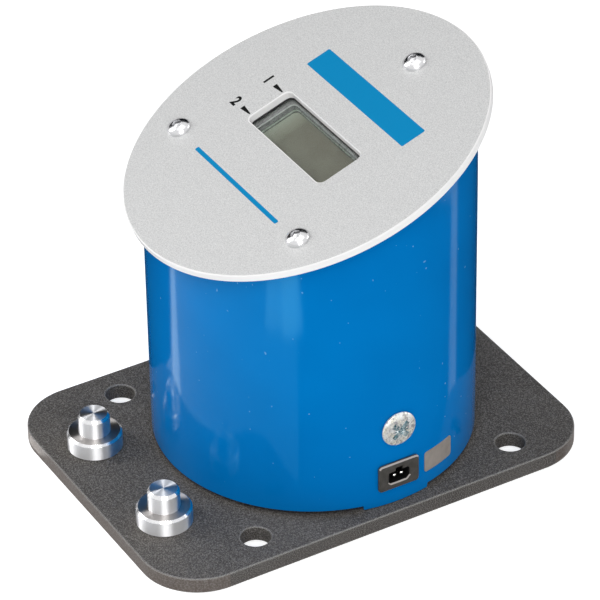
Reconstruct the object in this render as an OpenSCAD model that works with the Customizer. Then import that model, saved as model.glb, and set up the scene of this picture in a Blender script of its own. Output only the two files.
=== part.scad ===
// Bench torque tester: a tubular reading head with a sloped face plate that turns on a pedestal,
// and a measuring shaft whose square drive socket opens through the base plate's underside.
// Millimetres. The origin is on the torque axis, in the plane of the plate's underside. +Z is up,
// and the face slopes down towards -Y, where the reader stands.

/* [Base plate] */
// Width of the base plate, left to right
base_w = 151; // [148:1:180]
// Length of the base plate, front to back
base_l = 208.5; // [204:0.5:240]
// Distance that the plate's middle lies in front of the torque axis
base_shift = 6.5; // [0:0.5:12]
// Thickness of the base plate
base_t = 7.2; // [6.6:0.1:10]
// Radius of the plate's corners
base_corner_r = 26.5; // [12:0.5:32]
// Chamfer along the plate's top and bottom edges
base_chamfer = 0.5; // [0.2:0.1:1.2]
// Distance of the mounting holes from the plate's left and right edges
hole_side = 16; // [12:0.5:20]
// Distance between the mounting holes, front to back
hole_gap_y = 126; // [116:1:134]
// Diameter of the mounting holes
hole_d = 13; // [9:0.5:14]
// Chamfer at the top mouth of each mounting hole
hole_chamfer = 0.3; // [0.1:0.1:0.8]

/* [Housing tube] */
// Outer diameter of the housing tube
tube_d = 140; // [137:1:146]
// Wall of the housing tube
tube_wall = 3; // [2:0.25:4]
// Height of the face on the torque axis above the base plate
head_h = 144.8; // [140:0.2:160]
// Gap between the tube's lower edge and the base plate
edge_gap = 2.3; // [1.6:0.1:4]
// Running gap between the tab and the base plate
tab_gap = 0.3; // [0.2:0.05:0.5]
// Width of the tab
tab_w = 31; // [20:0.2:36]
// Diameter of the stop pin that the tab runs against
stop_pin_d = 2.5; // [2:0.1:2.8]

/* [Face plate] */
// Slope of the face
face_tilt = 19.3; // [16:0.1:22]
// Thickness of the face plate
face_t = 3.4; // [2:0.1:5]
// Overhang of the face plate past the tube, left and right
face_over_x = 5.5; // [3:0.1:9]
// Overhang of the face plate past the tube in plan, front and back
face_over_y = 6.7; // [3:0.1:9]
// Distance that the face plate sits down the slope from the tube's middle
face_offset = 0.5; // [0:0.1:1]
// Distance of the upper face screw inside the tube's outer wall, seen from above
face_screw_high_in = 18.66; // [17:0.1:20]
// Distance of the lower face screws inside the tube's outer wall, seen from above
face_screw_low_in = 10; // [9:0.1:12]
// Angle of the lower face screws in front of the tube's middle, seen from above
face_screw_turn = 34.9; // [33:0.1:37]
// Thread diameter of the face screws
face_screw_d = 6; // [5:0.5:6]

/* [Display] */
// Width of the display window
window_w = 59.4; // [50:0.2:62]
// Height of the display window
window_h = 21.8; // [16:0.2:24]
// Sideways place of the window's middle
window_x = -0.5; // [-3:0.1:3]
// Place of the window's middle down the slope
window_low = 2.1; // [-2:0.1:4]
// Corner radius of the window
window_r = 3; // [1:0.1:4]
// Margin of the clear pane round the window
pane_margin = 4.2; // [3:0.1:5]
// Thickness of the clear pane
pane_t = 1; // [0.6:0.1:1.5]
// Thickness of the display glass
lcd_t = 2.8; // [2:0.1:3.5]
// Thickness of both circuit boards
board_t = 1.6; // [1:0.1:2.4]
// Width of the display board
display_board_w = 80; // [78:0.5:82]
// Height of the display board
display_board_h = 48; // [44:0.5:50]

/* [Studs] */
// Distance between the two studs
stud_gap = 62; // [50:0.5:70]
// Sideways place of the middle between the studs
stud_shift = -1; // [-3:0.5:3]
// Distance of the studs in front of the torque axis
stud_y = 90; // [86:0.5:95]
// Diameter of the stud's foot
stud_foot_d = 24; // [20:0.5:26]
// Height of the stud's foot
stud_foot_h = 8; // [6:0.1:10]
// Diameter of the stud's neck
stud_neck_d = 13.8; // [12:0.1:18]
// Height of the whole stud
stud_h = 16.9; // [15:0.1:20]
// Chamfer at the top of the stud's foot and neck
stud_chamfer = 1; // [0.5:0.1:1.5]

/* [Clamp screw] */
// Height of the clamp screw above the base plate
clamp_h = 38.6; // [37.5:0.1:42]
// Thread diameter of the clamp screw
clamp_d = 8; // [6:0.5:8]
// Diameter of the clamp screw's head
clamp_head_d = 16; // [14:0.5:18]
// Height of the clamp screw's head
clamp_head_h = 2.8; // [2.6:0.1:4.6]

/* [Power inlet] */
// Width of the inlet's flange
inlet_w = 19.6; // [18:0.1:22]
// Height of the inlet's flange
inlet_h = 13.2; // [12:0.1:14]
// Depth of the inlet's body inside the tube
inlet_inside = 7.4; // [6.4:0.1:9]
// Height of the inlet's middle above the base plate
inlet_up = 15.1; // [14:0.1:16]
// Distance that the inlet's front stands out from the tube's widest point
inlet_proud = 1.4; // [0.8:0.1:2]
// Width of the inlet's recess
recess_w = 9.2; // [8:0.1:11]
// Height of the inlet's recess
recess_h = 4.6; // [4.2:0.1:6]
// Depth of the inlet's recess
recess_depth = 8; // [6:0.1:9]
// Diameter of the inlet's pins
inlet_pin_d = 1.5; // [1:0.1:1.8]
// Distance between the inlet's pins
inlet_pin_gap = 3.5; // [3:0.1:5]

/* [Rating plate] */
// Height of the rating plate
plate_h = 10.2; // [8:0.1:12]
// Angle round the tube where the rating plate starts
plate_from = 11.4; // [10:0.1:14]
// Angle round the tube that the rating plate covers
plate_sweep = 14.1; // [8:0.1:20]
// Thickness of the rating plate
plate_t = 0.3; // [0.2:0.05:0.5]

/* [Measuring shaft] */
// Width across the flats of the square drive socket
drive_square = 12.8; // [12.7:0.1:13.2]
// Depth of the square drive socket
drive_depth = 17; // [14:0.5:19]
// Diameter of the shaft's drive end
drive_end_d = 34; // [28:0.5:36]
// Diameter of the shaft's slender measuring length
gauge_d = 20; // [16:0.5:22]
// Thickness of the shaft's upper flange
shaft_flange_t = 10; // [8:0.5:12]
// Wall of the plain bush round the drive end
bush_wall = 4; // [3:0.25:4.5]

/* [Pedestal] */
// Height of the pedestal above the base plate
pedestal_h = 70.8; // [68:0.2:74]
// Width of the pedestal's foot flange outside its wall
pedestal_flange = 14; // [12:0.5:16]
// Thickness of the pedestal's foot flange
pedestal_foot_t = 8; // [7:0.25:9]
// Outer diameter of the pedestal's wall
pedestal_d = 76; // [72:0.5:78]
// Bore of the pedestal
pedestal_bore = 52; // [50:0.5:54]
// Diameter of the journal that the head turns on
journal_d = 84; // [82:0.5:88]
// Height of the journal's shoulder above the base plate
shoulder_h = 29.8; // [29:0.1:31]

/* [Measuring board] */
// Height of the measuring board above the base plate
measuring_board_h = 96.8; // [95:0.2:99]
// Distance of the measuring board's edge outside its pillars
pillar_edge = 5.5; // [4.5:0.25:6]
// Diameter of the pillars that carry the measuring board
pillar_d = 7; // [6:0.5:8]

/* [Hidden] */
$fn = 96;

// How far a cut runs past what it cuts
overrun = 1;
// Clearance of a piece that is pressed or bonded into its seat
press_gap = 0.04;
// Clearance of a screw's shank in its thread
thread_gap = 0.05;
// Radial clearance of a turning fit
running_gap = 0.08;
// Gap between pieces that must not touch
free_gap = 0.3;

// Main places
tube_r = tube_d / 2;
tube_in_r = tube_r - tube_wall;
face_z = base_t + head_h;
edge_z = base_t + edge_gap;
tab_z = base_t + tab_gap;
clamp_z = base_t + clamp_h;
inlet_z = base_t + inlet_up;
face_a = (tube_r + face_over_y) / cos(face_tilt);
face_b = tube_r + face_over_x;
face_middle = -face_offset - face_t * tan(face_tilt);
window_y = -window_low;
hole_gap_x = base_w - 2 * hole_side;

// Base plate details
stop_pin_clear = 0.5;
stop_pin_sunk = 5;
stop_pin_r = stop_pin_d / 2;
stop_pin_x = -(tube_r - tube_wall / 2);
stud_screw_d = 6;
stud_screw_head_d = 12;
stud_screw_head_h = 3;
stud_screw_reach = 9;
stud_top_step = 1.4;
stud_places = [stud_shift - stud_gap / 2, stud_shift + stud_gap / 2];

// Pedestal details
pedestal_r = pedestal_d / 2;
pedestal_foot_r = pedestal_r + pedestal_flange;
pedestal_bore_r = pedestal_bore / 2;
journal_r = journal_d / 2;
pedestal_top = base_t + pedestal_h;
shoulder_z = base_t + shoulder_h;
shoulder_step = 6;
shoulder_t = 3;
groove_w = 6.4;
groove_depth = 2;
pedestal_screw_d = 8;
pedestal_screw_head_d = 15;
pedestal_screw_head_h = 3.5;
pedestal_screw_count = 6;
pedestal_screw_r = pedestal_r + pedestal_flange / 2;
pedestal_screw_tip = 0.6;

// Measuring shaft details
drive_end_r = drive_end_d / 2;
gauge_r = gauge_d / 2;
shaft_lift = 0.6;
drive_end_top = shaft_lift + drive_depth + drive_end_r / 3;
shaft_taper = 5;
shaft_flange_r = journal_r - free_gap;
shaft_top = pedestal_top + shaft_flange_t;
shaft_screw_d = 6;
shaft_screw_head_d = 10;
shaft_screw_head_h = 6;
shaft_screw_count = 6;
shaft_screw_r = (journal_r + pedestal_bore_r) / 2;
shaft_screw_reach = 12;
bush_r = drive_end_r + bush_wall;
bush_flange_t = 2;
bush_flange_step = 3;
wire_bore_r = 3;
wire_r = 1.2;
wire_bend_r = 4;
cross_hole_z = pedestal_top - shaft_taper - wire_bend_r - wire_r;
gauge_t = 0.25;
gauge_h = 8;
gauge_sweep = 40;
gauge_z = (drive_end_top + pedestal_top) / 2 - gauge_h;
terminal_w = 6;
terminal_t = 1;
terminal_h = 5;
terminal_z = gauge_z + gauge_h + free_gap;
gauge_lead_y = gauge_r + 2 * press_gap + terminal_t + wire_r;

// Reading head details
slide_ring_t = 1;
carrier_z = shoulder_z + slide_ring_t;
carrier_h = 18;
carrier_top = carrier_z + carrier_h;
carrier_bore_r = journal_r + running_gap;
carrier_mid_r = (tube_in_r + journal_r) / 2;
lead_hole_d = 8;
lead_angle = -22;
clamp_tip_r = 2.6;
clamp_tip_l = 3;
clamp_hole_gap = 0.3;
clamp_recess_d = 8.4;
clamp_recess_depth = 2.4;
clamp_recess_w = 1.7;
head_rim_share = 0.25;
face_screw_head_d = face_screw_d * 1.75;
face_screw_head_h = face_screw_d * 0.55;
face_screw_key = face_screw_d * 0.67;
face_screw_reach = 10;
face_hole_gap = 0.3;
lug_w = 16;
lug_t = 12;
lug_inner = 8;
face_screw_low_r = tube_r - face_screw_low_in;
face_screw_x = face_screw_low_r * cos(face_screw_turn);
face_screw_low = face_screw_low_r * sin(face_screw_turn) / cos(face_tilt);
face_screw_high = (tube_r - face_screw_high_in) / cos(face_tilt);
face_screw_places = [[0, face_screw_high], [-face_screw_x, -face_screw_low],
  [face_screw_x, -face_screw_low]];

// Display stack, measured down from the face's top
seal_t = 0.6;
seal_lip = 0.3;
pane_w = window_w + 2 * pane_margin;
pane_h = window_h + 2 * pane_margin;
lcd_air = 0.2;
lcd_inset = 1.6;
holder_wall = 2.6;
strip_t = 2.4;
strip_w = 2;
pane_down = face_t + seal_t;
holder_down = pane_down + pane_t;
lcd_down = holder_down + lcd_air;
strip_down = lcd_down + lcd_t;
display_board_down = strip_down + strip_t;
lcd_w = pane_w - 2 * lcd_inset;
lcd_h = pane_h - 2 * lcd_inset;
holder_w = lcd_w + 2 * holder_wall;
holder_h = lcd_h + 2 * holder_wall;
display_hole_in = 3.2;
display_screw_d = 3;
display_spacer_d = 6;
display_nut_d = 6.2;
display_nut_h = 2.4;
display_screw_tail = 1;
display_screw_x = display_board_w / 2 - display_hole_in;
display_screw_y = display_board_h / 2 - display_hole_in;
display_chip_w = 14;
display_chip_h = 10;
display_chip_t = 1.8;
socket_w = 16;
socket_d = 6;
socket_h = 6;
display_socket_y = 12;

// Measuring board details
measuring_board_z = base_t + measuring_board_h;
pillar_r = pillar_d / 2;
pillar_place_r = carrier_mid_r;
measuring_board_r = pillar_place_r + pillar_edge;
pillar_count = 4;
pillar_screw_d = 4;
pillar_screw_head_d = 7;
pillar_screw_head_h = 2.6;
pillar_screw_reach = 8;
chip_t = 2;
chip_w = 12;
chip_l = 18;
small_chip_w = 8;
small_chip_l = 10;
chip_y = -22;
chip_gap = 24;
capacitor_r = 4;
capacitor_h = 10;
capacitor_x = 36;
capacitor_y = 10;
plug_w = 8;
plug_h = 6;
gauge_socket_w = 11;
gauge_socket_h = 4;
supply_socket_w = 9;
supply_socket_h = 6;
ribbon_w = 13;
ribbon_t = 0.9;
ribbon_steps = 16;
ribbon_slack = 12;
ribbon_y = 26;

// Power inlet details
inlet_front = tube_r + inlet_proud;
inlet_seat = sqrt(tube_r * tube_r - inlet_w * inlet_w / 4) + free_gap;
inlet_body_w = 14.6;
inlet_body_h = 9.8;
inlet_hole_gap = 0.2;
inlet_back = tube_in_r - inlet_inside;
inlet_chamfer = 0.6;
recess_low = 0.6;
notch_w = 2.6;
notch_h = 2.1;
pin_back = 1.1;
pin_tail = 2;
clip_t = 1;
clip_w = 22;
clip_h = 14;
clip_gap = 0.1;
clip_x = sqrt(tube_in_r * tube_in_r - clip_w * clip_w / 4) - clip_gap;
plate_up = inlet_z - plate_h / 2 - 1;
lead_r = 1.6;
lead_sides = 8;
lead_steps = 6;

// Flat ring, standing on z = 0
module ring(outer_r, inner_r, h) {
  difference() {
    cylinder(r = outer_r, h = h);
    translate([0, 0, -overrun]) cylinder(r = inner_r, h = h + 2 * overrun);
  }
}

// Disc with chamfered edges
module chamfered_disc(r, t, c) {
  rotate_extrude() polygon([[0, 0], [r - c, 0], [r, c], [r, t - c], [r - c, t], [0, t]]);
}

// Rounded rectangular plate with chamfered edges, standing on z = 0
module chamfered_plate(w, l, t, r, c) {
  rotate([90, 0, 0]) linear_extrude(l - 2 * r, center = true) chamfered_edge(w, t, c);
  rotate([90, 0, 90]) linear_extrude(w - 2 * r, center = true) chamfered_edge(l, t, c);
  for (sx = [-1, 1], sy = [-1, 1]) {
    translate([sx * (w / 2 - r), sy * (l / 2 - r), 0]) chamfered_disc(r, t, c);
  }
}
module chamfered_edge(w, t, c) {
  polygon([[c - w / 2, 0], [w / 2 - c, 0], [w / 2, c], [w / 2, t - c], [w / 2 - c, t],
    [c - w / 2, t], [-w / 2, t - c], [-w / 2, c]]);
}

// Rounded rectangle in the plane
module rounded_rect(w, h, r) {
  square([w - 2 * r, h], center = true);
  square([w, h - 2 * r], center = true);
  for (sx = [-1, 1], sy = [-1, 1]) translate([sx * (w / 2 - r), sy * (h / 2 - r)]) circle(r = r);
}

// Frame of the sloped face: z = 0 is the face's top, +y runs up the slope
module on_face() {
  translate([0, 0, face_z]) rotate([face_tilt, 0, 0]) children();
}
// Frame of the display window in the face
module on_window() {
  on_face() translate([window_x, window_y, 0]) children();
}

// Domed screw head standing on z = 0
module domed_head(r, h) {
  rim = h * head_rim_share;
  rotate_extrude() polygon(concat([[0, 0], [r, 0]],
    [for (i = [0:8]) [r * cos(i * 90 / 8), rim + (h - rim) * sin(i * 90 / 8)]]));
}

// Countersunk screw whose flat head lies in z = 0 and whose shank points up
module countersunk_screw(d, head_d, head_h, reach) {
  cylinder(r1 = head_d / 2, r2 = d / 2, h = head_h);
  cylinder(r = d / 2, h = reach);
}

// Round tube that follows a list of points
function unit(v) = v / norm(v);
function at(p, i) = p[max(0, min(len(p) - 1, i))];
function smooth(p, steps) = [for (i = [0:len(p) - 2], k = [0:steps - 1]) let (t = k / steps)
  (2 * at(p, i) + t * (at(p, i + 1) - at(p, i - 1))
  + t * t * (2 * at(p, i - 1) - 5 * at(p, i) + 4 * at(p, i + 1) - at(p, i + 2))
  + t * t * t * (3 * at(p, i) - at(p, i - 1) - 3 * at(p, i + 1) + at(p, i + 2))) / 2];
module swept_tube(p, r, sides) {
  n = len(p);
  side_dir = unit([1, 2, 0]);
  points = [for (i = [0:n - 1]) let (
      t = unit(at(p, i + 1) - at(p, i - 1)), a = unit(cross(t, side_dir)), b = cross(t, a))
    for (k = [0:sides - 1]) p[i] + r * (a * cos(360 * k / sides) + b * sin(360 * k / sides))];
  faces = concat([[for (k = [0:sides - 1]) k]],
    [for (i = [0:n - 2], k = [0:sides - 1]) [i * sides + k, (i + 1) * sides + k,
      (i + 1) * sides + (k + 1) % sides, i * sides + (k + 1) % sides]],
    [[for (k = [sides - 1:-1:0]) (n - 1) * sides + k]]);
  polyhedron(points = points, faces = faces);
}

// Steel plate that carries everything and is bolted to the bench
module base_plate() {
  color("#3b3c40") difference() {
    translate([0, -base_shift, 0]) chamfered_plate(base_w, base_l, base_t, base_corner_r, base_chamfer);
    for (sx = [-1, 1], sy = [-1, 1]) translate([sx * hole_gap_x / 2, sy * hole_gap_y / 2, 0]) {
      translate([0, 0, -overrun]) cylinder(d = hole_d, h = base_t + 2 * overrun);
      translate([0, 0, base_t - hole_chamfer])
        cylinder(r1 = hole_d / 2, r2 = hole_d / 2 + 2 * hole_chamfer, h = 2 * hole_chamfer);
    }
    translate([0, 0, -overrun]) cylinder(r = bush_r + press_gap, h = base_t + 2 * overrun);
    translate([stop_pin_x, 0, base_t - stop_pin_sunk])
      cylinder(r = stop_pin_r + press_gap, h = stop_pin_sunk + overrun);
    for (x = stud_places) translate([x, -stud_y, 0])
      countersunk_hole(stud_screw_d, stud_screw_head_d, stud_screw_head_h);
    at_pedestal_screws() countersunk_hole(pedestal_screw_d, pedestal_screw_head_d, pedestal_screw_head_h);
  }
}
module countersunk_hole(d, head_d, head_h) {
  translate([0, 0, -overrun]) cylinder(r = d / 2 + thread_gap, h = base_t + 2 * overrun);
  translate([0, 0, -thread_gap]) cylinder(r1 = head_d / 2 + thread_gap, r2 = d / 2 + thread_gap, h = head_h + thread_gap);
}
module at_pedestal_screws() {
  for (i = [0:pedestal_screw_count - 1]) rotate([0, 0, (i + 0.5) * 360 / pedestal_screw_count])
    translate([pedestal_screw_r, 0, 0]) children();
}

// Turned stud on the front of the base plate
module stud(x) {
  foot_r = stud_foot_d / 2;
  neck_r = stud_neck_d / 2;
  color("#d8d9dc") translate([x, -stud_y, base_t]) difference() {
    rotate_extrude() polygon([[0, 0], [foot_r, 0], [foot_r, stud_foot_h - stud_chamfer],
      [foot_r - stud_chamfer, stud_foot_h], [neck_r, stud_foot_h], [neck_r, stud_h - stud_top_step],
      [neck_r - stud_chamfer, stud_h], [0, stud_h]]);
    translate([0, 0, -overrun])
      cylinder(r = stud_screw_d / 2 + thread_gap, h = stud_screw_reach + free_gap + overrun);
  }
}
module left_stud() stud(stud_places[0]);
module right_stud() stud(stud_places[1]);
module stud_screws() {
  color("#8f9195") for (x = stud_places) translate([x, -stud_y, 0])
    countersunk_screw(stud_screw_d, stud_screw_head_d, stud_screw_head_h, base_t + stud_screw_reach);
}

// Dowel that stops the head's turn when the tab meets it
module stop_pin() {
  color("#b9bbbf") translate([stop_pin_x, 0, base_t - stop_pin_sunk])
    cylinder(r = stop_pin_r, h = stop_pin_sunk + edge_gap - stop_pin_clear);
}

// Turned pedestal that holds the measuring shaft's upper end and carries the head
module pedestal() {
  color("#a9abaf") difference() {
    rotate_extrude() polygon([
      [pedestal_bore_r, base_t], [pedestal_foot_r, base_t],
      [pedestal_foot_r, base_t + pedestal_foot_t], [pedestal_r, base_t + pedestal_foot_t],
      [pedestal_r, shoulder_z - shoulder_t - shoulder_step],
      [journal_r + shoulder_step, shoulder_z - shoulder_t],
      [journal_r + shoulder_step, shoulder_z], [journal_r, shoulder_z],
      [journal_r, clamp_z - groove_w / 2], [journal_r - groove_depth, clamp_z - groove_w / 2],
      [journal_r - groove_depth, clamp_z + groove_w / 2], [journal_r, clamp_z + groove_w / 2],
      [journal_r, pedestal_top], [pedestal_bore_r, pedestal_top]]);
    at_pedestal_screws() cylinder(r = pedestal_screw_d / 2 + thread_gap, h = base_t + pedestal_foot_t + overrun);
    at_shaft_screws() translate([0, 0, pedestal_top - shaft_screw_reach - free_gap])
      cylinder(r = shaft_screw_d / 2 + thread_gap, h = shaft_screw_reach + free_gap + overrun);
  }
}
module pedestal_screws() {
  color("#55575b") at_pedestal_screws() countersunk_screw(pedestal_screw_d, pedestal_screw_head_d,
    pedestal_screw_head_h, base_t + pedestal_foot_t - pedestal_screw_tip);
}
module at_shaft_screws() {
  for (i = [0:shaft_screw_count - 1]) rotate([0, 0, i * 360 / shaft_screw_count])
    translate([shaft_screw_r, 0, 0]) children();
}

// Plain bush that steadies the drive end in the base plate
module drive_bush() {
  color("#c19a4b") translate([0, 0, shaft_lift]) difference() {
    union() {
      cylinder(r = bush_r, h = base_t - shaft_lift + bush_flange_t);
      translate([0, 0, base_t - shaft_lift])
        cylinder(r = bush_r + bush_flange_step, h = bush_flange_t);
    }
    translate([0, 0, -overrun])
      cylinder(r = drive_end_r + running_gap, h = base_t + bush_flange_t + 2 * overrun);
  }
}

// Steel measuring shaft: square socket below, slender gauged length, bolted flange above
module measuring_shaft() {
  color("#9a9ca1") difference() {
    rotate_extrude() polygon([[0, shaft_lift], [drive_end_r, shaft_lift],
      [drive_end_r, drive_end_top - shaft_taper], [gauge_r, drive_end_top],
      [gauge_r, pedestal_top - shaft_taper], [gauge_r + shaft_taper, pedestal_top],
      [shaft_flange_r, pedestal_top], [shaft_flange_r, shaft_top], [0, shaft_top]]);
    translate([-drive_square / 2, -drive_square / 2, 0])
      cube([drive_square, drive_square, shaft_lift + drive_depth]);
    translate([0, 0, cross_hole_z - wire_bore_r]) cylinder(r = wire_bore_r, h = shaft_top);
    translate([0, 0, cross_hole_z]) rotate([-90, 0, 0]) cylinder(r = wire_bore_r, h = drive_end_r);
    at_shaft_screws() translate([0, 0, pedestal_top - overrun])
      cylinder(r = shaft_screw_d / 2 + thread_gap, h = shaft_flange_t + 2 * overrun);
  }
}
module shaft_screws() {
  color("#3a3b3e") at_shaft_screws() {
    translate([0, 0, pedestal_top - shaft_screw_reach])
      cylinder(r = shaft_screw_d / 2, h = shaft_screw_reach + shaft_flange_t);
    translate([0, 0, shaft_top]) difference() {
      cylinder(r = shaft_screw_head_d / 2, h = shaft_screw_head_h);
      translate([0, 0, shaft_screw_head_h / 2])
        cylinder(r = shaft_screw_d * 0.48, h = shaft_screw_head_h, $fn = 6);
    }
  }
}

// Foil gauges bonded round the slender length
module strain_gauges() {
  color("#b5793a") for (a = [0:90:270]) rotate([0, 0, a - gauge_sweep / 2])
    translate([0, 0, gauge_z]) rotate_extrude(angle = gauge_sweep)
      translate([gauge_r + press_gap, 0]) square([gauge_t, gauge_h]);
}
module gauge_terminals() {
  color("#2f6b3a") translate([-terminal_w / 2, gauge_r + press_gap, terminal_z])
    cube([terminal_w, terminal_t, terminal_h]);
}
// Lead from the gauges through the shaft's wire bore, ending on the torque axis
module gauge_lead() {
  straight_z = terminal_z + terminal_t;
  color("#4a4a4c") {
    translate([0, gauge_lead_y, straight_z])
      cylinder(r = wire_r, h = cross_hole_z - wire_bend_r - straight_z);
    translate([0, gauge_lead_y - wire_bend_r, cross_hole_z - wire_bend_r])
      rotate([90, 0, 90]) rotate_extrude(angle = 90) translate([wire_bend_r, 0]) circle(r = wire_r);
    translate([0, wire_bend_r, cross_hole_z]) rotate([-90, 0, 0])
      cylinder(r = wire_r, h = gauge_lead_y - 2 * wire_bend_r);
    translate([0, wire_bend_r, cross_hole_z + wire_bend_r]) rotate([90, 0, 90])
      rotate([0, 0, 180]) rotate_extrude(angle = 90) translate([wire_bend_r, 0]) circle(r = wire_r);
    translate([0, 0, cross_hole_z + wire_bend_r]) cylinder(r = wire_r,
      h = measuring_board_z - gauge_socket_h - plug_h - free_gap - cross_hole_z - wire_bend_r);
  }
}

// Plastic ring that the head's weight slides on
module slide_ring() {
  color("#ece9df") translate([0, 0, shoulder_z])
    ring(journal_r + shoulder_step - free_gap, journal_r + free_gap, slide_ring_t);
}

// Painted tube of the head, cut to the slope, with the low tab under the inlet
module housing_tube() {
  top = face_z + face_a;
  color("#0f74bd") difference() {
    union() {
      translate([0, 0, edge_z]) ring(tube_r, tube_in_r, top - edge_z);
      intersection() {
        translate([0, 0, tab_z]) ring(tube_r, tube_in_r, 2 * (edge_z - tab_z));
        translate([0, -tab_w / 2, tab_z]) cube([tube_d, tab_w, 2 * (edge_z - tab_z)]);
      }
    }
    on_face() translate([-tube_d, -tube_d, -face_t]) cube([2 * tube_d, 2 * tube_d, top]);
    translate([0, 0, clamp_z]) rotate([0, 90, 0])
      cylinder(r = clamp_d / 2 + clamp_hole_gap, h = tube_d);
    translate([0, 0, inlet_z]) {
      inlet_block(tube_in_r - tube_wall, tube_d, inlet_body_w + 2 * inlet_hole_gap,
        inlet_body_h + 2 * inlet_hole_gap);
      inlet_block(inlet_seat, tube_d, inlet_w + 2 * inlet_hole_gap, inlet_h + 2 * inlet_hole_gap);
    }
  }
}
module inlet_block(from, to, w, h) {
  translate([from, -w / 2, -h / 2]) cube([to - from, w, h]);
}

// Ring bonded inside the tube: it turns on the journal and takes the clamp screw's thread
module carrier_ring() {
  color("#b4b6ba") difference() {
    translate([0, 0, carrier_z]) ring(tube_in_r - press_gap, carrier_bore_r, carrier_h);
    translate([0, 0, clamp_z]) rotate([0, 90, 0]) cylinder(r = clamp_d / 2 + thread_gap, h = tube_r);
    rotate([0, 0, lead_angle]) translate([carrier_mid_r, 0, carrier_z - overrun])
      cylinder(d = lead_hole_d, h = carrier_h + 2 * overrun);
    at_pillars() translate([0, 0, carrier_top - pillar_screw_reach])
      cylinder(r = pillar_screw_d / 2 + thread_gap, h = pillar_screw_reach + overrun);
  }
}
module at_pillars() {
  for (i = [0:pillar_count - 1]) rotate([0, 0, (i + 0.5) * 360 / pillar_count])
    translate([pillar_place_r, 0, 0]) children();
}

// Pan-head screw through the tube that clamps the head to the journal's groove
module clamp_screw() {
  tip = journal_r - groove_depth + free_gap;
  color("#cfd0cc") translate([0, 0, clamp_z]) rotate([0, 90, 0]) difference() {
    union() {
      translate([0, 0, tip]) cylinder(r = clamp_tip_r, h = clamp_tip_l + overrun);
      translate([0, 0, tip + clamp_tip_l]) cylinder(r = clamp_d / 2, h = tube_r - tip - clamp_tip_l);
      translate([0, 0, tube_r]) domed_head(clamp_head_d / 2, clamp_head_h);
    }
    for (a = [45, 135]) rotate([0, 0, a])
      translate([-clamp_recess_d / 2, -clamp_recess_w / 2, tube_r + clamp_head_h - clamp_recess_depth])
        cube([clamp_recess_d, clamp_recess_w, clamp_head_h]);
  }
}

// Aluminium face plate, an oval cut square to its own face
module face_plate() {
  outline = [for (i = [0:119]) [face_b * cos(i * 3), face_middle + face_a * sin(i * 3)]];
  color("#d2d3d4") on_face() translate([0, 0, -face_t]) difference() {
    linear_extrude(face_t) polygon(outline);
    translate([window_x, window_y, -overrun]) linear_extrude(face_t + 2 * overrun)
      rounded_rect(window_w, window_h, window_r);
    for (p = face_screw_places) translate([p[0], p[1], -overrun])
      cylinder(r = face_screw_d / 2 + face_hole_gap, h = face_t + 2 * overrun);
  }
}

// Threaded lugs welded inside the tube under the face plate
module face_lugs() {
  color("#a3a5a9") for (p = face_screw_places) difference() {
    intersection() {
      on_face() rotate([0, 0, atan2(p[1], p[0])])
        translate([norm(p) - lug_inner, -lug_w / 2, -face_t - lug_t]) cube([tube_r, lug_w, lug_t]);
      cylinder(r = tube_in_r - press_gap, h = face_z + tube_d);
    }
    on_face() translate([p[0], p[1], -face_t - lug_t - overrun])
      cylinder(r = face_screw_d / 2 + thread_gap, h = lug_t + 2 * overrun);
  }
}
module face_screws() {
  color("#c4c5c8") on_face() for (p = face_screw_places) translate([p[0], p[1], 0]) difference() {
    union() {
      translate([0, 0, -face_t - face_screw_reach])
        cylinder(r = face_screw_d / 2, h = face_t + face_screw_reach + face_screw_head_h / 4);
      domed_head(face_screw_head_d / 2, face_screw_head_h);
    }
    translate([0, 0, face_screw_head_h * 0.35])
      cylinder(d = face_screw_key * 1.155, h = face_screw_head_h, $fn = 6);
  }
}

// Black seal between the face plate and the clear pane
module window_seal() {
  color("#1b1b1b") on_window() translate([0, 0, -pane_down]) linear_extrude(seal_t) difference() {
    square([pane_w, pane_h], center = true);
    rounded_rect(window_w - 2 * seal_lip, window_h - 2 * seal_lip, window_r - seal_lip);
  }
}
module window_pane() {
  color("#dfe8e6", 0.35) on_window() translate([-pane_w / 2, -pane_h / 2, -pane_down - pane_t])
    cube([pane_w, pane_h, pane_t]);
}
module lcd_panel() {
  color("#75776b") on_window() translate([-lcd_w / 2, -lcd_h / 2, -lcd_down - lcd_t])
    cube([lcd_w, lcd_h, lcd_t]);
}
module lcd_holder() {
  depth = display_board_down - holder_down;
  color("#232427") on_window() translate([0, 0, -display_board_down]) linear_extrude(depth)
    difference() {
      square([holder_w, holder_h], center = true);
      square([lcd_w + 2 * thread_gap, lcd_h + 2 * thread_gap], center = true);
    }
}
// Rubber strips that join the display glass to its board
module contact_strips() {
  color("#8b8d90") on_window() for (s = [-1, 1])
    translate([-window_w / 2, s * (lcd_h / 2 - strip_w) - strip_w / 2, -display_board_down])
      cube([window_w, strip_w, strip_t]);
}
module display_board() {
  color("#1f6b3c") on_window() difference() {
    translate([-display_board_w / 2, -display_board_h / 2, -display_board_down - board_t])
      cube([display_board_w, display_board_h, board_t]);
    at_display_screws() translate([0, 0, -display_board_down - board_t - overrun])
      cylinder(r = display_screw_d / 2 + thread_gap, h = board_t + 2 * overrun);
  }
}
module at_display_screws() {
  for (sx = [-1, 1], sy = [-1, 1]) translate([sx * display_screw_x, sy * display_screw_y, 0]) children();
}
module display_spacers() {
  color("#c9a24c") on_window() at_display_screws() translate([0, 0, -display_board_down])
    ring(display_spacer_d / 2, display_screw_d / 2 + thread_gap, display_board_down - face_t);
}
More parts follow.
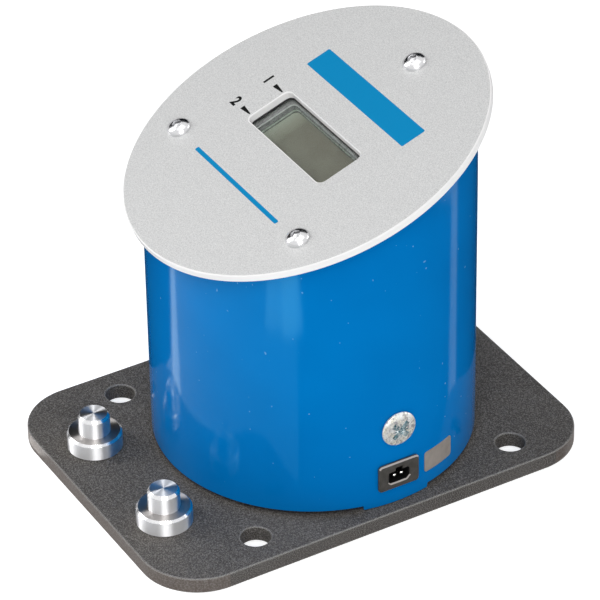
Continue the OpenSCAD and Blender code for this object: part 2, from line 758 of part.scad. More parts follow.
// Threaded studs welded behind the face plate, each with its nut
module display_screws() {
  color("#b8babd") on_window() at_display_screws() {
    nut_z = -display_board_down - board_t - display_nut_h;
    translate([0, 0, nut_z - display_screw_tail])
      cylinder(d = display_screw_d, h = -face_t - nut_z + display_screw_tail);
    translate([0, 0, nut_z]) cylinder(d = display_nut_d, h = display_nut_h, $fn = 6);
  }
}
module display_chip() {
  color("#26272a") on_window()
    translate([-display_chip_w / 2, -display_chip_h, -display_board_down - board_t - display_chip_t])
      cube([display_chip_w, display_chip_h, display_chip_t]);
}
module display_socket() {
  color("#303236") on_window() translate([-socket_w / 2, display_socket_y - socket_d / 2,
    -display_board_down - board_t - socket_h]) cube([socket_w, socket_d, socket_h]);
}

// Flat cable between the two boards, an S-shaped strip
function curve(a, b, c, d, t) = pow(1 - t, 3) * a + 3 * t * pow(1 - t, 2) * b
  + 3 * t * t * (1 - t) * c + t * t * t * d;
module ribbon_cable() {
  down = display_board_down + board_t + socket_h;
  slope_y = window_y + display_socket_y;
  top_end = [slope_y * cos(face_tilt) + down * sin(face_tilt),
    face_z + slope_y * sin(face_tilt) - down * cos(face_tilt)];
  low_end = [ribbon_y, measuring_board_z + board_t + socket_h];
  out = ribbon_slack * [sin(face_tilt), -cos(face_tilt)];
  line = [for (i = [0:ribbon_steps]) curve(low_end, low_end + [0, ribbon_slack], top_end + out,
    top_end, i / ribbon_steps)];
  dirs = [for (i = [0:ribbon_steps]) i == 0 ? [0, 1] : i == ribbon_steps ? -unit(out)
    : unit(at(line, i + 1) - at(line, i - 1))];
  one = [for (i = [0:ribbon_steps]) line[i] + [-dirs[i][1], dirs[i][0]] * ribbon_t / 2];
  two = [for (i = [ribbon_steps:-1:0]) line[i] - [-dirs[i][1], dirs[i][0]] * ribbon_t / 2];
  color("#9fa3a8") translate([window_x, 0, 0]) rotate([90, 0, 90])
    linear_extrude(ribbon_w, center = true) polygon(concat(one, two));
}
module board_socket() {
  color("#303236") translate([window_x - socket_w / 2, ribbon_y - socket_d / 2,
    measuring_board_z + board_t]) cube([socket_w, socket_d, socket_h]);
}

// Round board with the amplifier and converter, on four pillars
module measuring_board() {
  color("#1f6b3c") translate([0, 0, measuring_board_z]) difference() {
    cylinder(r = measuring_board_r, h = board_t);
    at_pillars() translate([0, 0, -overrun])
      cylinder(r = pillar_screw_d / 2 + thread_gap, h = board_t + 2 * overrun);
  }
}
module board_pillars() {
  color("#c9a24c") at_pillars() difference() {
    union() {
      translate([0, 0, carrier_top]) cylinder(r = pillar_r, h = measuring_board_z - carrier_top);
      translate([0, 0, carrier_top - pillar_screw_reach + free_gap])
        cylinder(r = pillar_screw_d / 2, h = pillar_screw_reach);
    }
    translate([0, 0, measuring_board_z - pillar_screw_reach])
      cylinder(r = pillar_screw_d / 2 + thread_gap, h = pillar_screw_reach + overrun);
  }
}
module board_screws() {
  color("#b8babd") at_pillars() translate([0, 0, measuring_board_z + board_t]) {
    domed_head(pillar_screw_head_d / 2, pillar_screw_head_h);
    translate([0, 0, free_gap - pillar_screw_reach]) cylinder(d = pillar_screw_d, h = pillar_screw_reach);
  }
}
module board_chips() {
  color("#26272a") translate([0, chip_y, measuring_board_z + board_t]) {
    translate([-chip_l / 2, -chip_w / 2, 0]) cube([chip_l, chip_w, chip_t]);
    for (s = [-1, 1]) translate([s * chip_gap - small_chip_l / 2, -small_chip_w / 2, 0])
      cube([small_chip_l, small_chip_w, chip_t]);
  }
}
module board_capacitors() {
  color("#33415c") for (s = [-1, 1]) translate([s * capacitor_x, capacitor_y, measuring_board_z + board_t])
    cylinder(r = capacitor_r, h = capacitor_h);
}
module gauge_plug() {
  color("#e6e2d3") translate([-plug_w / 2, -plug_w / 2, measuring_board_z - gauge_socket_h - plug_h])
    cube([plug_w, plug_w, plug_h]);
}
module gauge_socket() {
  color("#303236") translate([-gauge_socket_w / 2, -gauge_socket_w / 2, measuring_board_z - gauge_socket_h])
    cube([gauge_socket_w, gauge_socket_w, gauge_socket_h]);
}
module supply_socket() {
  color("#e6e2d3") rotate([0, 0, lead_angle]) translate([carrier_mid_r - supply_socket_w / 2,
    -supply_socket_w / 2, measuring_board_z - supply_socket_h])
      cube([supply_socket_w, supply_socket_w, supply_socket_h]);
}

// Two-core lead from the inlet, up through the carrier ring, to the measuring board
module supply_lead() {
  hole_x = carrier_mid_r * cos(lead_angle);
  hole_y = carrier_mid_r * sin(lead_angle);
  start = [inlet_back - pin_tail - free_gap, 0, inlet_z - recess_low];
  finish = [hole_x, hole_y, measuring_board_z - supply_socket_h];
  out = [-lead_r, 0, 0];
  up = [0, 0, lead_r];
  hole = [hole_x, hole_y, carrier_z];
  route = concat([start, start + out], [start + 2 * out + [0, hole_y / 5, lead_r],
    start + 2.5 * out + [0, hole_y / 2, 3 * lead_r], hole - 3 * up, hole, hole + 3 * up,
    hole + [0, 0, carrier_h], finish - 6 * up, finish - up, finish]);
  color("#2a2a2c") swept_tube(concat(smooth(route, lead_steps), [finish]), lead_r, lead_sides);
}

// Moulded two-pin inlet with a flat flange
module inlet_body() {
  color("#4c4d50") translate([0, 0, inlet_z]) difference() {
    union() {
      inlet_block(inlet_back, inlet_seat, inlet_body_w, inlet_body_h);
      inlet_block(inlet_seat, inlet_front - inlet_chamfer, inlet_w, inlet_h);
      inlet_block(inlet_seat, inlet_front, inlet_w - 2 * inlet_chamfer, inlet_h - 2 * inlet_chamfer);
    }
    translate([0, 0, -recess_low]) {
      inlet_block(inlet_front - recess_depth, inlet_front + overrun, recess_w, recess_h);
      translate([0, 0, recess_h / 2 + notch_h / 2 - overrun / 2])
        inlet_block(inlet_front - recess_depth, inlet_front + overrun, notch_w, notch_h + overrun);
      for (s = [-1, 1]) translate([inlet_back - overrun, s * inlet_pin_gap / 2, 0]) rotate([0, 90, 0])
        cylinder(r = inlet_pin_d / 2 + press_gap, h = tube_r);
    }
  }
}
module inlet_pins() {
  color("#d9d4c2") for (s = [-1, 1])
    translate([inlet_back - pin_tail, s * inlet_pin_gap / 2, inlet_z - recess_low]) rotate([0, 90, 0])
      cylinder(d = inlet_pin_d, h = inlet_front - pin_back - inlet_back + pin_tail);
}
// Spring clip that holds the inlet from inside the tube
module inlet_clip() {
  color("#b9bbbf") translate([0, 0, inlet_z]) difference() {
    inlet_block(clip_x - clip_t, clip_x, clip_w, clip_h);
    inlet_block(clip_x - clip_t - overrun, clip_x + overrun, inlet_body_w + 2 * press_gap,
      inlet_body_h + 2 * press_gap);
  }
}
module rating_plate() {
  color("#a9a79f") rotate([0, 0, plate_from]) translate([0, 0, plate_up])
    rotate_extrude(angle = plate_sweep) translate([tube_r + press_gap, 0]) square([plate_t, plate_h]);
}

base_plate();
left_stud();
right_stud();
stud_screws();
stop_pin();
pedestal();
pedestal_screws();
drive_bush();
measuring_shaft();
shaft_screws();
strain_gauges();
gauge_terminals();
gauge_lead();
slide_ring();
housing_tube();
carrier_ring();
clamp_screw();
face_plate();
face_lugs();
face_screws();
window_seal();
window_pane();
lcd_panel();
lcd_holder();
contact_strips();
display_board();
display_spacers();
display_screws();
display_chip();
display_socket();
ribbon_cable();
board_socket();
measuring_board();
board_pillars();
board_screws();
board_chips();
board_capacitors();
gauge_plug();
gauge_socket();
supply_socket();
supply_lead();
inlet_body();
inlet_pins();
inlet_clip();
rating_plate();
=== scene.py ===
import math
import bmesh
import bpy
from mathutils import Matrix, Vector


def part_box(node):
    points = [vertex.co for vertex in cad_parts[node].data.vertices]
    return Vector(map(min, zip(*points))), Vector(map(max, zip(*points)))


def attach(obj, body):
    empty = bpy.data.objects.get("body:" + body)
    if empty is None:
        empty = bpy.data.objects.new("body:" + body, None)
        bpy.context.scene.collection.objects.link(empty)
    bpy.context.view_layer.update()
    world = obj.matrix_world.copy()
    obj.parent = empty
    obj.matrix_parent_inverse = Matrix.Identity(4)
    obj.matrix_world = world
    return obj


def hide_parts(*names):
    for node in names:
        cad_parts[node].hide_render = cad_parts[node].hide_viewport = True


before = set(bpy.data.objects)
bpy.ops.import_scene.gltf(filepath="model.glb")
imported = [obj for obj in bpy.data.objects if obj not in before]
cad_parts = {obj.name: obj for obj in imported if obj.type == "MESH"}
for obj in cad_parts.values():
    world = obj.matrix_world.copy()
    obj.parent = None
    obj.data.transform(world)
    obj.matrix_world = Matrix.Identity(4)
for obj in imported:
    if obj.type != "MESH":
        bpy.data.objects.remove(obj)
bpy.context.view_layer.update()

# The camera stands where the photographer stood: to the reader's right, well above the plate, with a
# long lens. Its angles, distance and lens come from the plate's outline, its holes and the tube.
mm = 0.001
camera_side = math.radians(60.15)
camera_rise = math.radians(34.55)
camera_roll = math.radians(-1.007)
camera_distance = 1682.5 * mm
lens_for_picture = 3949.95 / 600
aim_height = 60 * mm
aim_right = -4.99 * mm
aim_up = 7.44 * mm
towards = Vector((math.sin(camera_side) * math.cos(camera_rise),
                  -math.cos(camera_side) * math.cos(camera_rise), math.sin(camera_rise)))
level_right = Vector((math.cos(camera_side), math.sin(camera_side), 0))
level_up = towards.cross(level_right)
picture_right = level_right * math.cos(camera_roll) + level_up * math.sin(camera_roll)
picture_up = level_up * math.cos(camera_roll) - level_right * math.sin(camera_roll)
aim = Vector((0, 0, aim_height)) + picture_right * aim_right + picture_up * aim_up
camera = bpy.data.objects.new("camera", bpy.data.cameras.new("camera"))
camera.data.sensor_width = 36
camera.data.lens = 36 * lens_for_picture
camera.data.clip_end = 20
camera.matrix_world = Matrix.Translation(aim + towards * camera_distance) @ Matrix(
    (picture_right, picture_up, towards)).transposed().to_4x4()
bpy.context.scene.collection.objects.link(camera)
bpy.context.scene.camera = camera

# The floor is a plain matt white sheet that the tester stands on. It is a little brighter to the
# camera than to the paint, and keeps the soft shadow at the plate's foot.
floor_half = 6.0
floor_z = -0.05 * mm
floor_tone = 0.93
floor_camera_glow = 0.55


def join(source, socket):
    socket.id_data.links.new(source, socket)


def add_mesh(name, verts, faces):
    mesh = bpy.data.meshes.new(name)
    mesh.from_pydata(verts, [], faces)
    mesh.update()
    piece = bpy.data.objects.new(name, mesh)
    bpy.context.scene.collection.objects.link(piece)
    return piece


floor_white = bpy.data.materials.new("floor_white")
floor_white.use_nodes = True
floor_nodes = floor_white.node_tree.nodes
floor_shader = floor_nodes["Principled BSDF"]
floor_shader.inputs["Base Color"].default_value = (floor_tone, floor_tone, floor_tone, 1)
floor_shader.inputs["Roughness"].default_value = 0.9
floor_shader.inputs["Specular IOR Level"].default_value = 0.0
floor_glow = floor_nodes.new("ShaderNodeEmission")
floor_glow.inputs["Color"].default_value = (1, 1, 1, 1)
floor_ray = floor_nodes.new("ShaderNodeLightPath")
floor_share = floor_nodes.new("ShaderNodeMath")
floor_share.operation = "MULTIPLY"
floor_share.inputs[1].default_value = floor_camera_glow
floor_mix = floor_nodes.new("ShaderNodeAddShader")
join(floor_ray.outputs["Is Camera Ray"], floor_share.inputs[0])
join(floor_share.outputs[0], floor_glow.inputs["Strength"])
join(floor_shader.outputs[0], floor_mix.inputs[0])
join(floor_glow.outputs[0], floor_mix.inputs[1])
join(floor_mix.outputs[0], floor_nodes["Material Output"].inputs["Surface"])
floor = add_mesh("floor", [(sx * floor_half, sy * floor_half, floor_z)
                           for sx, sy in ((-1, -1), (1, -1), (1, 1), (-1, 1))], [(0, 1, 2, 3)])
floor.data.materials.append(floor_white)

# Plain soft studio light: a pale room all round, one soft panel at each side, a broad one overhead,
# and two beside the camera. Cards of light and dark cards on the floor, and a dark wall behind the
# tester, are out of the camera's sight and shape the reflections in its gloss paint and bright metal.
room_tone = (0.96, 0.98, 1.0)
room_strength = 0.33
room = bpy.data.worlds.new("room")
bpy.context.scene.world = room
room.use_nodes = True
room_nodes = room.node_tree.nodes
room_light = room_nodes["Background"]
room_light.inputs["Color"].default_value = (*room_tone, 1)
room_light.inputs["Strength"].default_value = room_strength
room_white = room_nodes.new("ShaderNodeBackground")
room_white.inputs["Color"].default_value = (1, 1, 1, 1)
room_ray = room_nodes.new("ShaderNodeLightPath")
room_seen = room_nodes.new("ShaderNodeMath")
room_seen.operation = "MAXIMUM"
room_either = room_nodes.new("ShaderNodeMath")
room_either.operation = "MAXIMUM"
room_mix = room_nodes.new("ShaderNodeMixShader")
join(room_ray.outputs["Is Camera Ray"], room_seen.inputs[0])
join(room_ray.outputs["Is Glossy Ray"], room_seen.inputs[1])
join(room_seen.outputs[0], room_either.inputs[0])
join(room_ray.outputs["Is Transmission Ray"], room_either.inputs[1])
join(room_either.outputs[0], room_mix.inputs["Fac"])
join(room_light.outputs[0], room_mix.inputs[1])
join(room_white.outputs[0], room_mix.inputs[2])
join(room_mix.outputs[0], room_nodes["World Output"].inputs["Surface"])


def add_panel(name, place, target, width, height, power):
    panel = bpy.data.objects.new(name, bpy.data.lights.new(name, "AREA"))
    panel.data.shape = "RECTANGLE"
    panel.data.size = width
    panel.data.size_y = height
    panel.data.energy = power
    panel.location = place
    panel.rotation_euler = (Vector(target) - Vector(place)).to_track_quat("-Z", "Y").to_euler()
    bpy.context.scene.collection.objects.link(panel)
    return panel


def add_card(name, place, turn, width, length, power):
    card = add_panel(name, place, (0, 0, 1), width, length, power)
    card.rotation_euler = (math.pi, 0, math.radians(turn))
    card.visible_camera = False


def add_dark_card(name, corners):
    card = add_mesh(name, corners, [range(len(corners))])
    card.data.materials.append(dark_felt)
    for way in ("camera", "diffuse", "transmission", "volume_scatter", "shadow"):
        setattr(card, "visible_" + way, False)


tester_middle = (0, 0, 90 * mm)
for name, place, width, height, power in (
        ("left_panel", (-0.75, -0.85, 0.75), 0.35, 1.0, 7.0),
        ("right_panel", (0.45, 1.3, 0.6), 0.5, 0.8, 3.2),
        ("top_panel", (0.1, -0.2, 1.5), 1.2, 1.2, 2.6),
        ("near_panel", (0.75, -0.5, 1.15), 0.5, 0.5, 5.2),
        ("camera_panel", (1.6, -0.6, 0.75), 1.0, 1.0, 9.0)):
    add_panel(name, place, tester_middle, width, height, power)
card_z = 2 * mm
front_turn = 39.3
left_turn = 40.0
for name, x, y, turn, width, length, power in (
        ("front_card", 181, -163, front_turn, 44, 70, 0.036),
        ("front_fill_card", 150, -190, front_turn, 38, 62, 0.018),
        ("left_card", -85, -144, left_turn, 105, 16, 0.010)):
    add_card(name, (x * mm, y * mm, card_z), turn, width * mm, length * mm, power)
dark_card_z = 1.5 * mm
dark_felt = bpy.data.materials.new("dark_felt")
dark_felt.use_nodes = True
felt_shader = dark_felt.node_tree.nodes["Principled BSDF"]
felt_shader.inputs["Base Color"].default_value = (0.01, 0.012, 0.016, 1)
felt_shader.inputs["Specular IOR Level"].default_value = 0.0
for name, corners in (
        ("left_dark_card", [(-76, 20), (-76, -121), (-240, -260), (-330, -120), (-230, 40)]),
        ("right_dark_card", [(67, -50), (225, -180), (300, -20), (270, 120), (200, 220), (92, 252),
                             (72, 70)]),
        ("back_dark_card", [(61, 60), (61, 300), (-160, 300), (-120, 180), (0, 90)])):
    add_dark_card(name, [(x * mm, y * mm, dark_card_z) for x, y in corners])
wall_distance = 1.4
wall_away = Vector((-math.sin(camera_side), math.cos(camera_side), 0)) * wall_distance
wall_low = 0.35
wall_high = 1.9
wall_left = -2.4
wall_right = 1.2
add_dark_card("dark_wall", [wall_away + level_right * side + Vector((0, 0, height))
                            for side, height in ((wall_left, wall_low), (wall_right, wall_low),
                                                 (wall_right, wall_high), (wall_left, wall_high))])

bpy.context.scene.view_settings.view_transform = "Standard"

# The base plate is cut from steel plate, with rounded corners and four bolt holes, and coated in a
# fine grained dark finish. The coat is pale along its edges, partly from wear and partly as a painted
# highlight, and is browner on the two ends.
plate_low, plate_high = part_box("base_plate")
plate_corner = 26.5 * mm
plate_edge = 0.5 * mm
bolt_hole_r = 6.5 * mm
bolt_gap_x = 119 * mm
bolt_gap_y = 126 * mm
bush_hole_r = 21.02 * mm
stud_screw_places = [(-32 * mm, -90 * mm), (30 * mm, -90 * mm)]
stud_screw_head_r = 6.05 * mm
stud_screw_head_h = 3.05 * mm
stud_screw_r = 3.05 * mm
pedestal_screw_circle_r = 45 * mm
pedestal_screw_turns = [math.radians(30 + 60 * i) for i in range(6)]
pedestal_screw_places = [(pedestal_screw_circle_r * math.cos(a), pedestal_screw_circle_r * math.sin(a))
                         for a in pedestal_screw_turns]
pedestal_screw_head_r = 7.55 * mm
pedestal_screw_head_h = 3.55 * mm
pedestal_screw_r = 4.05 * mm
stop_pin_low, stop_pin_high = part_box("stop_pin")
stop_pin_gap = 0.04 * mm
plate_end_y = bolt_gap_y / 2 + 2 * bolt_hole_r
plate_grain = 0.5 * mm
plate_cloud = 38 * mm
end_grain = 0.7 * mm
coat_height = 0.12 * mm
coat_bump = 0.8
edge_wear_highlight_r = 0.7 * mm
edge_wear_highlight_loss = 0.04
plate_dark = (0.055, 0.050, 0.046)
plate_pale = (0.28, 0.265, 0.25)
plate_mid = (0.115, 0.106, 0.098)
plate_end = (0.105, 0.084, 0.072)
plate_wear_and_highlight = (0.5, 0.49, 0.47)


def ring_of(r, steps=96, centre=(0, 0)):
    turns = [2 * math.pi * i / steps for i in range(steps)]
    return [(centre[0] + r * math.cos(a), centre[1] + r * math.sin(a)) for a in turns]


def rounded_box(low, high, r, steps=16):
    points = []
    corners = [(high[0] - r, high[1] - r), (low[0] + r, high[1] - r),
               (low[0] + r, low[1] + r), (high[0] - r, low[1] + r)]
    for quarter, (x, y) in enumerate(corners):
        for i in range(steps + 1):
            a = math.pi / 2 * (quarter + i / steps)
            points.append((x + r * math.cos(a), y + r * math.sin(a)))
    return points


def moved_in(outline, depth):
    count = len(outline)
    moved = []
    for i, (x, y) in enumerate(outline):
        before, after = outline[i - 1], outline[(i + 1) % count]
        along = Vector((after[0] - before[0], after[1] - before[1])).normalized()
        moved.append((x - along.y * depth, y + along.x * depth))
    return moved


def piece_from(name, shape):
    bmesh.ops.recalc_face_normals(shape, faces=shape.faces)
    piece = add_mesh(name, [], [])
    shape.to_mesh(piece.data)
    shape.free()
    return piece


def cut_sheet(name, outlines, thickness, edge, steps=3):
    sheet = bmesh.new()
    rounding = [(edge * (1 - math.sin(a)), edge * (1 - math.cos(a)))
                for a in [math.pi / 2 * i / steps for i in range(steps + 1)]]
    levels = rounding + [(inset, thickness - z) for inset, z in reversed(rounding)]
    rims = {0: [], len(levels) - 1: []}
    for number, outline in enumerate(outlines):
        line = outline if number == 0 else list(reversed(outline))
        rows = [[sheet.verts.new((x, y, z)) for x, y in moved_in(line, inset)] for inset, z in levels]
        count = len(line)
        for below, above in zip(rows, rows[1:]):
            for i in range(count):
                j = (i + 1) % count
                sheet.faces.new((below[i], below[j], above[j], above[i]))
        for level in rims:
            row = rows[level]
            rims[level] += [sheet.edges.get((row[i], row[(i + 1) % count])) for i in range(count)]
    for rim in rims.values():
        bmesh.ops.triangle_fill(sheet, use_beauty=True, edges=rim)
    return piece_from(name, sheet)


def turned(name, profile, steps=128):
    shape = bmesh.new()
    columns = []
    for r, z in profile:
        if r < 1e-7:
            columns.append([shape.verts.new((0, 0, z))])
        else:
            columns.append([shape.verts.new((x, y, z)) for x, y in ring_of(r, steps)])
    for low, high in zip(columns, columns[1:]):
        for i in range(steps):
            j = (i + 1) % steps
            corners = [low[i % len(low)], low[j % len(low)], high[j % len(high)], high[i % len(high)]]
            kept = [v for k, v in enumerate(corners) if v not in corners[:k]]
            if len(kept) > 2:
                shape.faces.new(kept)
    return piece_from(name, shape)


def cut_away(piece, *cutters):
    for cutter in cutters:
        cut = piece.modifiers.new("cut", "BOOLEAN")
        cut.operation = "DIFFERENCE"
        cut.solver = "MANIFOLD"
        cut.object = cutter
    bpy.context.view_layer.update()
    ready = piece.evaluated_get(bpy.context.evaluated_depsgraph_get())
    piece.data = bpy.data.meshes.new_from_object(ready)
    piece.data.materials.clear()
    piece.modifiers.clear()
    for cutter in cutters:
        bpy.data.objects.remove(cutter)


def smooth(piece, angle=40):
    piece.data.shade_smooth()
    piece.data.set_sharp_from_angle(angle=math.radians(angle))
    even = piece.modifiers.new("even_normals", "WEIGHTED_NORMAL")
    even.keep_sharp = True


def new_finish(name, colour, metal, rough):
    made = bpy.data.materials.new(name)
    made.use_nodes = True
    shader = made.node_tree.nodes["Principled BSDF"]
    shader.inputs["Base Color"].default_value = (*colour, 1)
    shader.inputs["Metallic"].default_value = metal
    shader.inputs["Roughness"].default_value = rough
    return made, shader


def grain(made, cell, detail=3):
    nodes = made.node_tree.nodes
    place = nodes.new("ShaderNodeTexCoord")
    noise = nodes.new("ShaderNodeTexNoise")
    noise.inputs["Scale"].default_value = 1 / cell
    noise.inputs["Detail"].default_value = detail
    join(place.outputs["Object"], noise.inputs["Vector"])
    return noise.outputs["Fac"]


def spread(made, source, low, high, from_low=0.35, from_high=0.65):
    wide = made.node_tree.nodes.new("ShaderNodeMapRange")
    wide.inputs["From Min"].default_value = from_low
    wide.inputs["From Max"].default_value = from_high
    wide.inputs["To Min"].default_value = low
    wide.inputs["To Max"].default_value = high
    join(source, wide.inputs["Value"])
    return wide.outputs["Result"]


def blend_colours(made, share, first, second):
    mix = made.node_tree.nodes.new("ShaderNodeMix")
    mix.data_type = "RGBA"
    join(share, mix.inputs["Factor"])
    for socket, colour in ((mix.inputs["A"], first), (mix.inputs["B"], second)):
        if isinstance(colour, bpy.types.NodeSocket):
            join(colour, socket)
        else:
            socket.default_value = (*colour, 1)
    return mix.outputs["Result"]


def worn_edges(made, radius, loss):
    nodes = made.node_tree.nodes
    rounded = nodes.new("ShaderNodeBevel")
    rounded.inputs["Radius"].default_value = radius
    rounded.samples = 6
    true = nodes.new("ShaderNodeNewGeometry")
    match = nodes.new("ShaderNodeVectorMath")
    match.operation = "DOT_PRODUCT"
    join(rounded.outputs["Normal"], match.inputs[0])
    join(true.outputs["Normal"], match.inputs[1])
    return spread(made, match.outputs["Value"], 1, 0, 1 - loss, 1 - loss / 6)


def raise_grain(made, shader, source, height, strength=1.0):
    bump = made.node_tree.nodes.new("ShaderNodeBump")
    bump.inputs["Strength"].default_value = strength
    bump.inputs["Distance"].default_value = height
    join(source, bump.inputs["Height"])
    join(bump.outputs["Normal"], shader.inputs["Normal"])


def finish_of(name, colour, other, metal, rough, cell, height):
    made, shader = new_finish(name, colour, metal, rough[0])
    patches = spread(made, grain(made, cell), 0, 1)
    join(blend_colours(made, patches, colour, other), shader.inputs["Base Color"])
    join(spread(made, grain(made, cell / 2), *rough), shader.inputs["Roughness"])
    raise_grain(made, shader, grain(made, cell / 4, 2), height)
    return made


def dress(piece, made, body, slot, *nodes):
    piece.data.materials.append(made)
    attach(piece, body)
    if nodes:
        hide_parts(*nodes)


plate_holes = [ring_of(bolt_hole_r, 64, (sx * bolt_gap_x / 2, sy * bolt_gap_y / 2))
               for sx in (-1, 1) for sy in (-1, 1)]
plate_holes.append(ring_of(bush_hole_r, 96))
plate = cut_sheet("base_plate_coated",
                  [rounded_box(plate_low, plate_high, plate_corner, 24)] + plate_holes,
                  plate_high.z, plate_edge)
plate_cutters = []
for places, hole_r, mouth_r, mouth_h in (
        (stud_screw_places, stud_screw_r, stud_screw_head_r, stud_screw_head_h),
        (pedestal_screw_places, pedestal_screw_r, pedestal_screw_head_r, pedestal_screw_head_h)):
    for x, y in places:
        cutter = turned("screw_hole_cut", [(0, -plate_high.z), (mouth_r, -plate_high.z), (mouth_r, 0),
                                           (hole_r, mouth_h), (hole_r, 2 * plate_high.z),
                                           (0, 2 * plate_high.z)], 48)
        cutter.data.transform(Matrix.Translation((x, y, 0)))
        plate_cutters.append(cutter)
stop_hole_r = (stop_pin_high.y - stop_pin_low.y) / 2 + stop_pin_gap
pin_cut = turned("pin_hole_cut", [(0, 0), (stop_hole_r, 0), (stop_hole_r, plate_high.z),
                                  (0, plate_high.z)], 32)
pin_cut.data.transform(Matrix.Translation(((stop_pin_low.x + stop_pin_high.x) / 2, 0, stop_pin_low.z)))
cut_away(plate, *plate_cutters, pin_cut)
smooth(plate)
plate_coat, plate_shader = new_finish("grained_dark_coating", plate_dark, 0.0, 0.42)
plate_specks = spread(plate_coat, grain(plate_coat, plate_grain, 2), 0, 0.8, 0.42, 0.75)
plate_clouds = spread(plate_coat, grain(plate_coat, plate_cloud), 0, 0.35)
# Pale edges: partly a worn coat, partly a painted highlight along every edge.
plate_wear_highlight_mask = worn_edges(plate_coat, edge_wear_highlight_r, edge_wear_highlight_loss)
plate_colour = blend_colours(plate_coat, plate_clouds, plate_dark, plate_mid)
plate_colour = blend_colours(plate_coat, plate_specks, plate_colour, plate_pale)
plate_colour = blend_colours(plate_coat, plate_wear_highlight_mask, plate_colour, plate_wear_and_highlight)
join(plate_colour, plate_shader.inputs["Base Color"])
join(spread(plate_coat, grain(plate_coat, 6 * mm), 0.36, 0.5), plate_shader.inputs["Roughness"])
plate_shader.inputs["Specular IOR Level"].default_value = 0.1
raise_grain(plate_coat, plate_shader, grain(plate_coat, plate_grain, 2), coat_height, coat_bump)
dress(plate, plate_coat, "base", "plate_finish", "base_plate")
end_coat, end_shader = new_finish("rolled_dark_edge", plate_end, 0.0, 0.5)
end_specks = spread(end_coat, grain(end_coat, end_grain), 0, 0.45, 0.4, 0.7)
end_tone = blend_colours(end_coat, end_specks, plate_end, plate_pale)
# The ends' edges take the same pale colour: partly wear, partly painted highlight.
end_tone = blend_colours(end_coat, worn_edges(end_coat, edge_wear_highlight_r, edge_wear_highlight_loss), end_tone, plate_wear_and_highlight)
join(end_tone, end_shader.inputs["Base Color"])
end_shader.inputs["Specular IOR Level"].default_value = 0.3
raise_grain(end_coat, end_shader, grain(end_coat, end_grain, 2), coat_height, coat_bump)
plate.data.materials.append(end_coat)
for side in plate.data.polygons:
    if abs(side.normal.z) < 0.3 and abs(side.center.y) > plate_end_y:
        side.material_index = 1

# The two studs are turned from aluminium bar: a wide foot, a neck and a faced top, with chamfers.
# Each is held by a screw from below. The lathe's fine rings spread the light across each turned
# face in its own way, so the sides, the shoulder and the top have finishes of their own, and the
# shoulder and the top carry painted shade: a darker colour of the same aluminium.
stud_foot_r = 12 * mm
stud_foot_h = 8 * mm
stud_neck_r = 6.9 * mm
stud_h = 16.9 * mm
stud_top_step = 1.4 * mm
stud_chamfer = 1 * mm
stud_break = 0.08 * mm
stud_relief = 0.4 * mm
stud_hole_r = 3.05 * mm
stud_hole_h = 9.3 * mm
stud_colour = (0.82, 0.82, 0.83)
stud_shoulder_painted_shade = (0.44, 0.42, 0.41)
stud_top_painted_shade = (0.66, 0.67, 0.69)
stud_finishes = (("faced", stud_colour, (0.15, 0.26)), ("side", stud_colour, (0.38, 0.5)),
                 ("shoulder", stud_shoulder_painted_shade, (0.36, 0.46)), ("top", stud_top_painted_shade, (0.4, 0.5)))
stud_middle_z = plate_high.z + (stud_foot_h + stud_h) / 2
ring_pitch = 0.3 * mm
ring_height = 0.0008 * mm


def eased(profile, back, steps=3):
    points = [profile[0]]
    for a, b, c in zip(profile, profile[1:], profile[2:]):
        a, b, c = Vector(a), Vector(b), Vector(c)
        start = b + (a - b).normalized() * min(back, (a - b).length / 3)
        end = b + (c - b).normalized() * min(back, (c - b).length / 3)
        for i in range(steps + 1):
            t = i / steps
            points.append(tuple((1 - t) ** 2 * start + 2 * t * (1 - t) * b + t * t * end))
    return points + [profile[-1]]


def turning_rings(made, shader, axis_place):
    nodes = made.node_tree.nodes
    place = nodes.new("ShaderNodeTexCoord")
    shift = nodes.new("ShaderNodeVectorMath")
    shift.operation = "SUBTRACT"
    shift.inputs[1].default_value = axis_place
    flat = nodes.new("ShaderNodeVectorMath")
    flat.operation = "MULTIPLY"
    flat.inputs[1].default_value = (1, 1, 0)
    radius = nodes.new("ShaderNodeVectorMath")
    radius.operation = "LENGTH"
    apart = nodes.new("ShaderNodeSeparateXYZ")
    both = nodes.new("ShaderNodeCombineXYZ")
    noise = nodes.new("ShaderNodeTexNoise")
    noise.inputs["Scale"].default_value = 1 / ring_pitch
    noise.inputs["Detail"].default_value = 3
    join(place.outputs["Object"], shift.inputs[0])
    join(shift.outputs[0], flat.inputs[0])
    join(shift.outputs[0], apart.inputs[0])
    join(flat.outputs[0], radius.inputs[0])
    join(radius.outputs["Value"], both.inputs["X"])
    join(apart.outputs["Z"], both.inputs["Z"])
    join(both.outputs[0], noise.inputs["Vector"])
    raise_grain(made, shader, noise.outputs["Fac"], ring_height)
    return noise.outputs["Fac"]


stud_profile = eased([(stud_hole_r, stud_hole_h), (stud_hole_r, 0), (stud_foot_r - stud_relief, 0),
                      (stud_foot_r, stud_relief), (stud_foot_r, stud_foot_h - stud_chamfer),
                      (stud_foot_r - stud_chamfer, stud_foot_h),
                      (stud_neck_r, stud_foot_h), (stud_neck_r, stud_h - stud_top_step),
                      (stud_neck_r - stud_chamfer, stud_h), (0, stud_h)], stud_break)
stud_profile = [(0, stud_hole_h)] + stud_profile


def turned_metal(name, colour, rough, axis_place):
    made, shader = new_finish(name, colour, 1.0, rough[0])
    shader.inputs["Anisotropic"].default_value = 1.0
    shader.inputs["Anisotropic Rotation"].default_value = 0.25
    way = made.node_tree.nodes.new("ShaderNodeTangent")
    way.direction_type = "RADIAL"
    way.axis = "Z"
    join(way.outputs[0], shader.inputs["Tangent"])
    rings = turning_rings(made, shader, axis_place)
    join(spread(made, rings, *rough), shader.inputs["Roughness"])
    return made


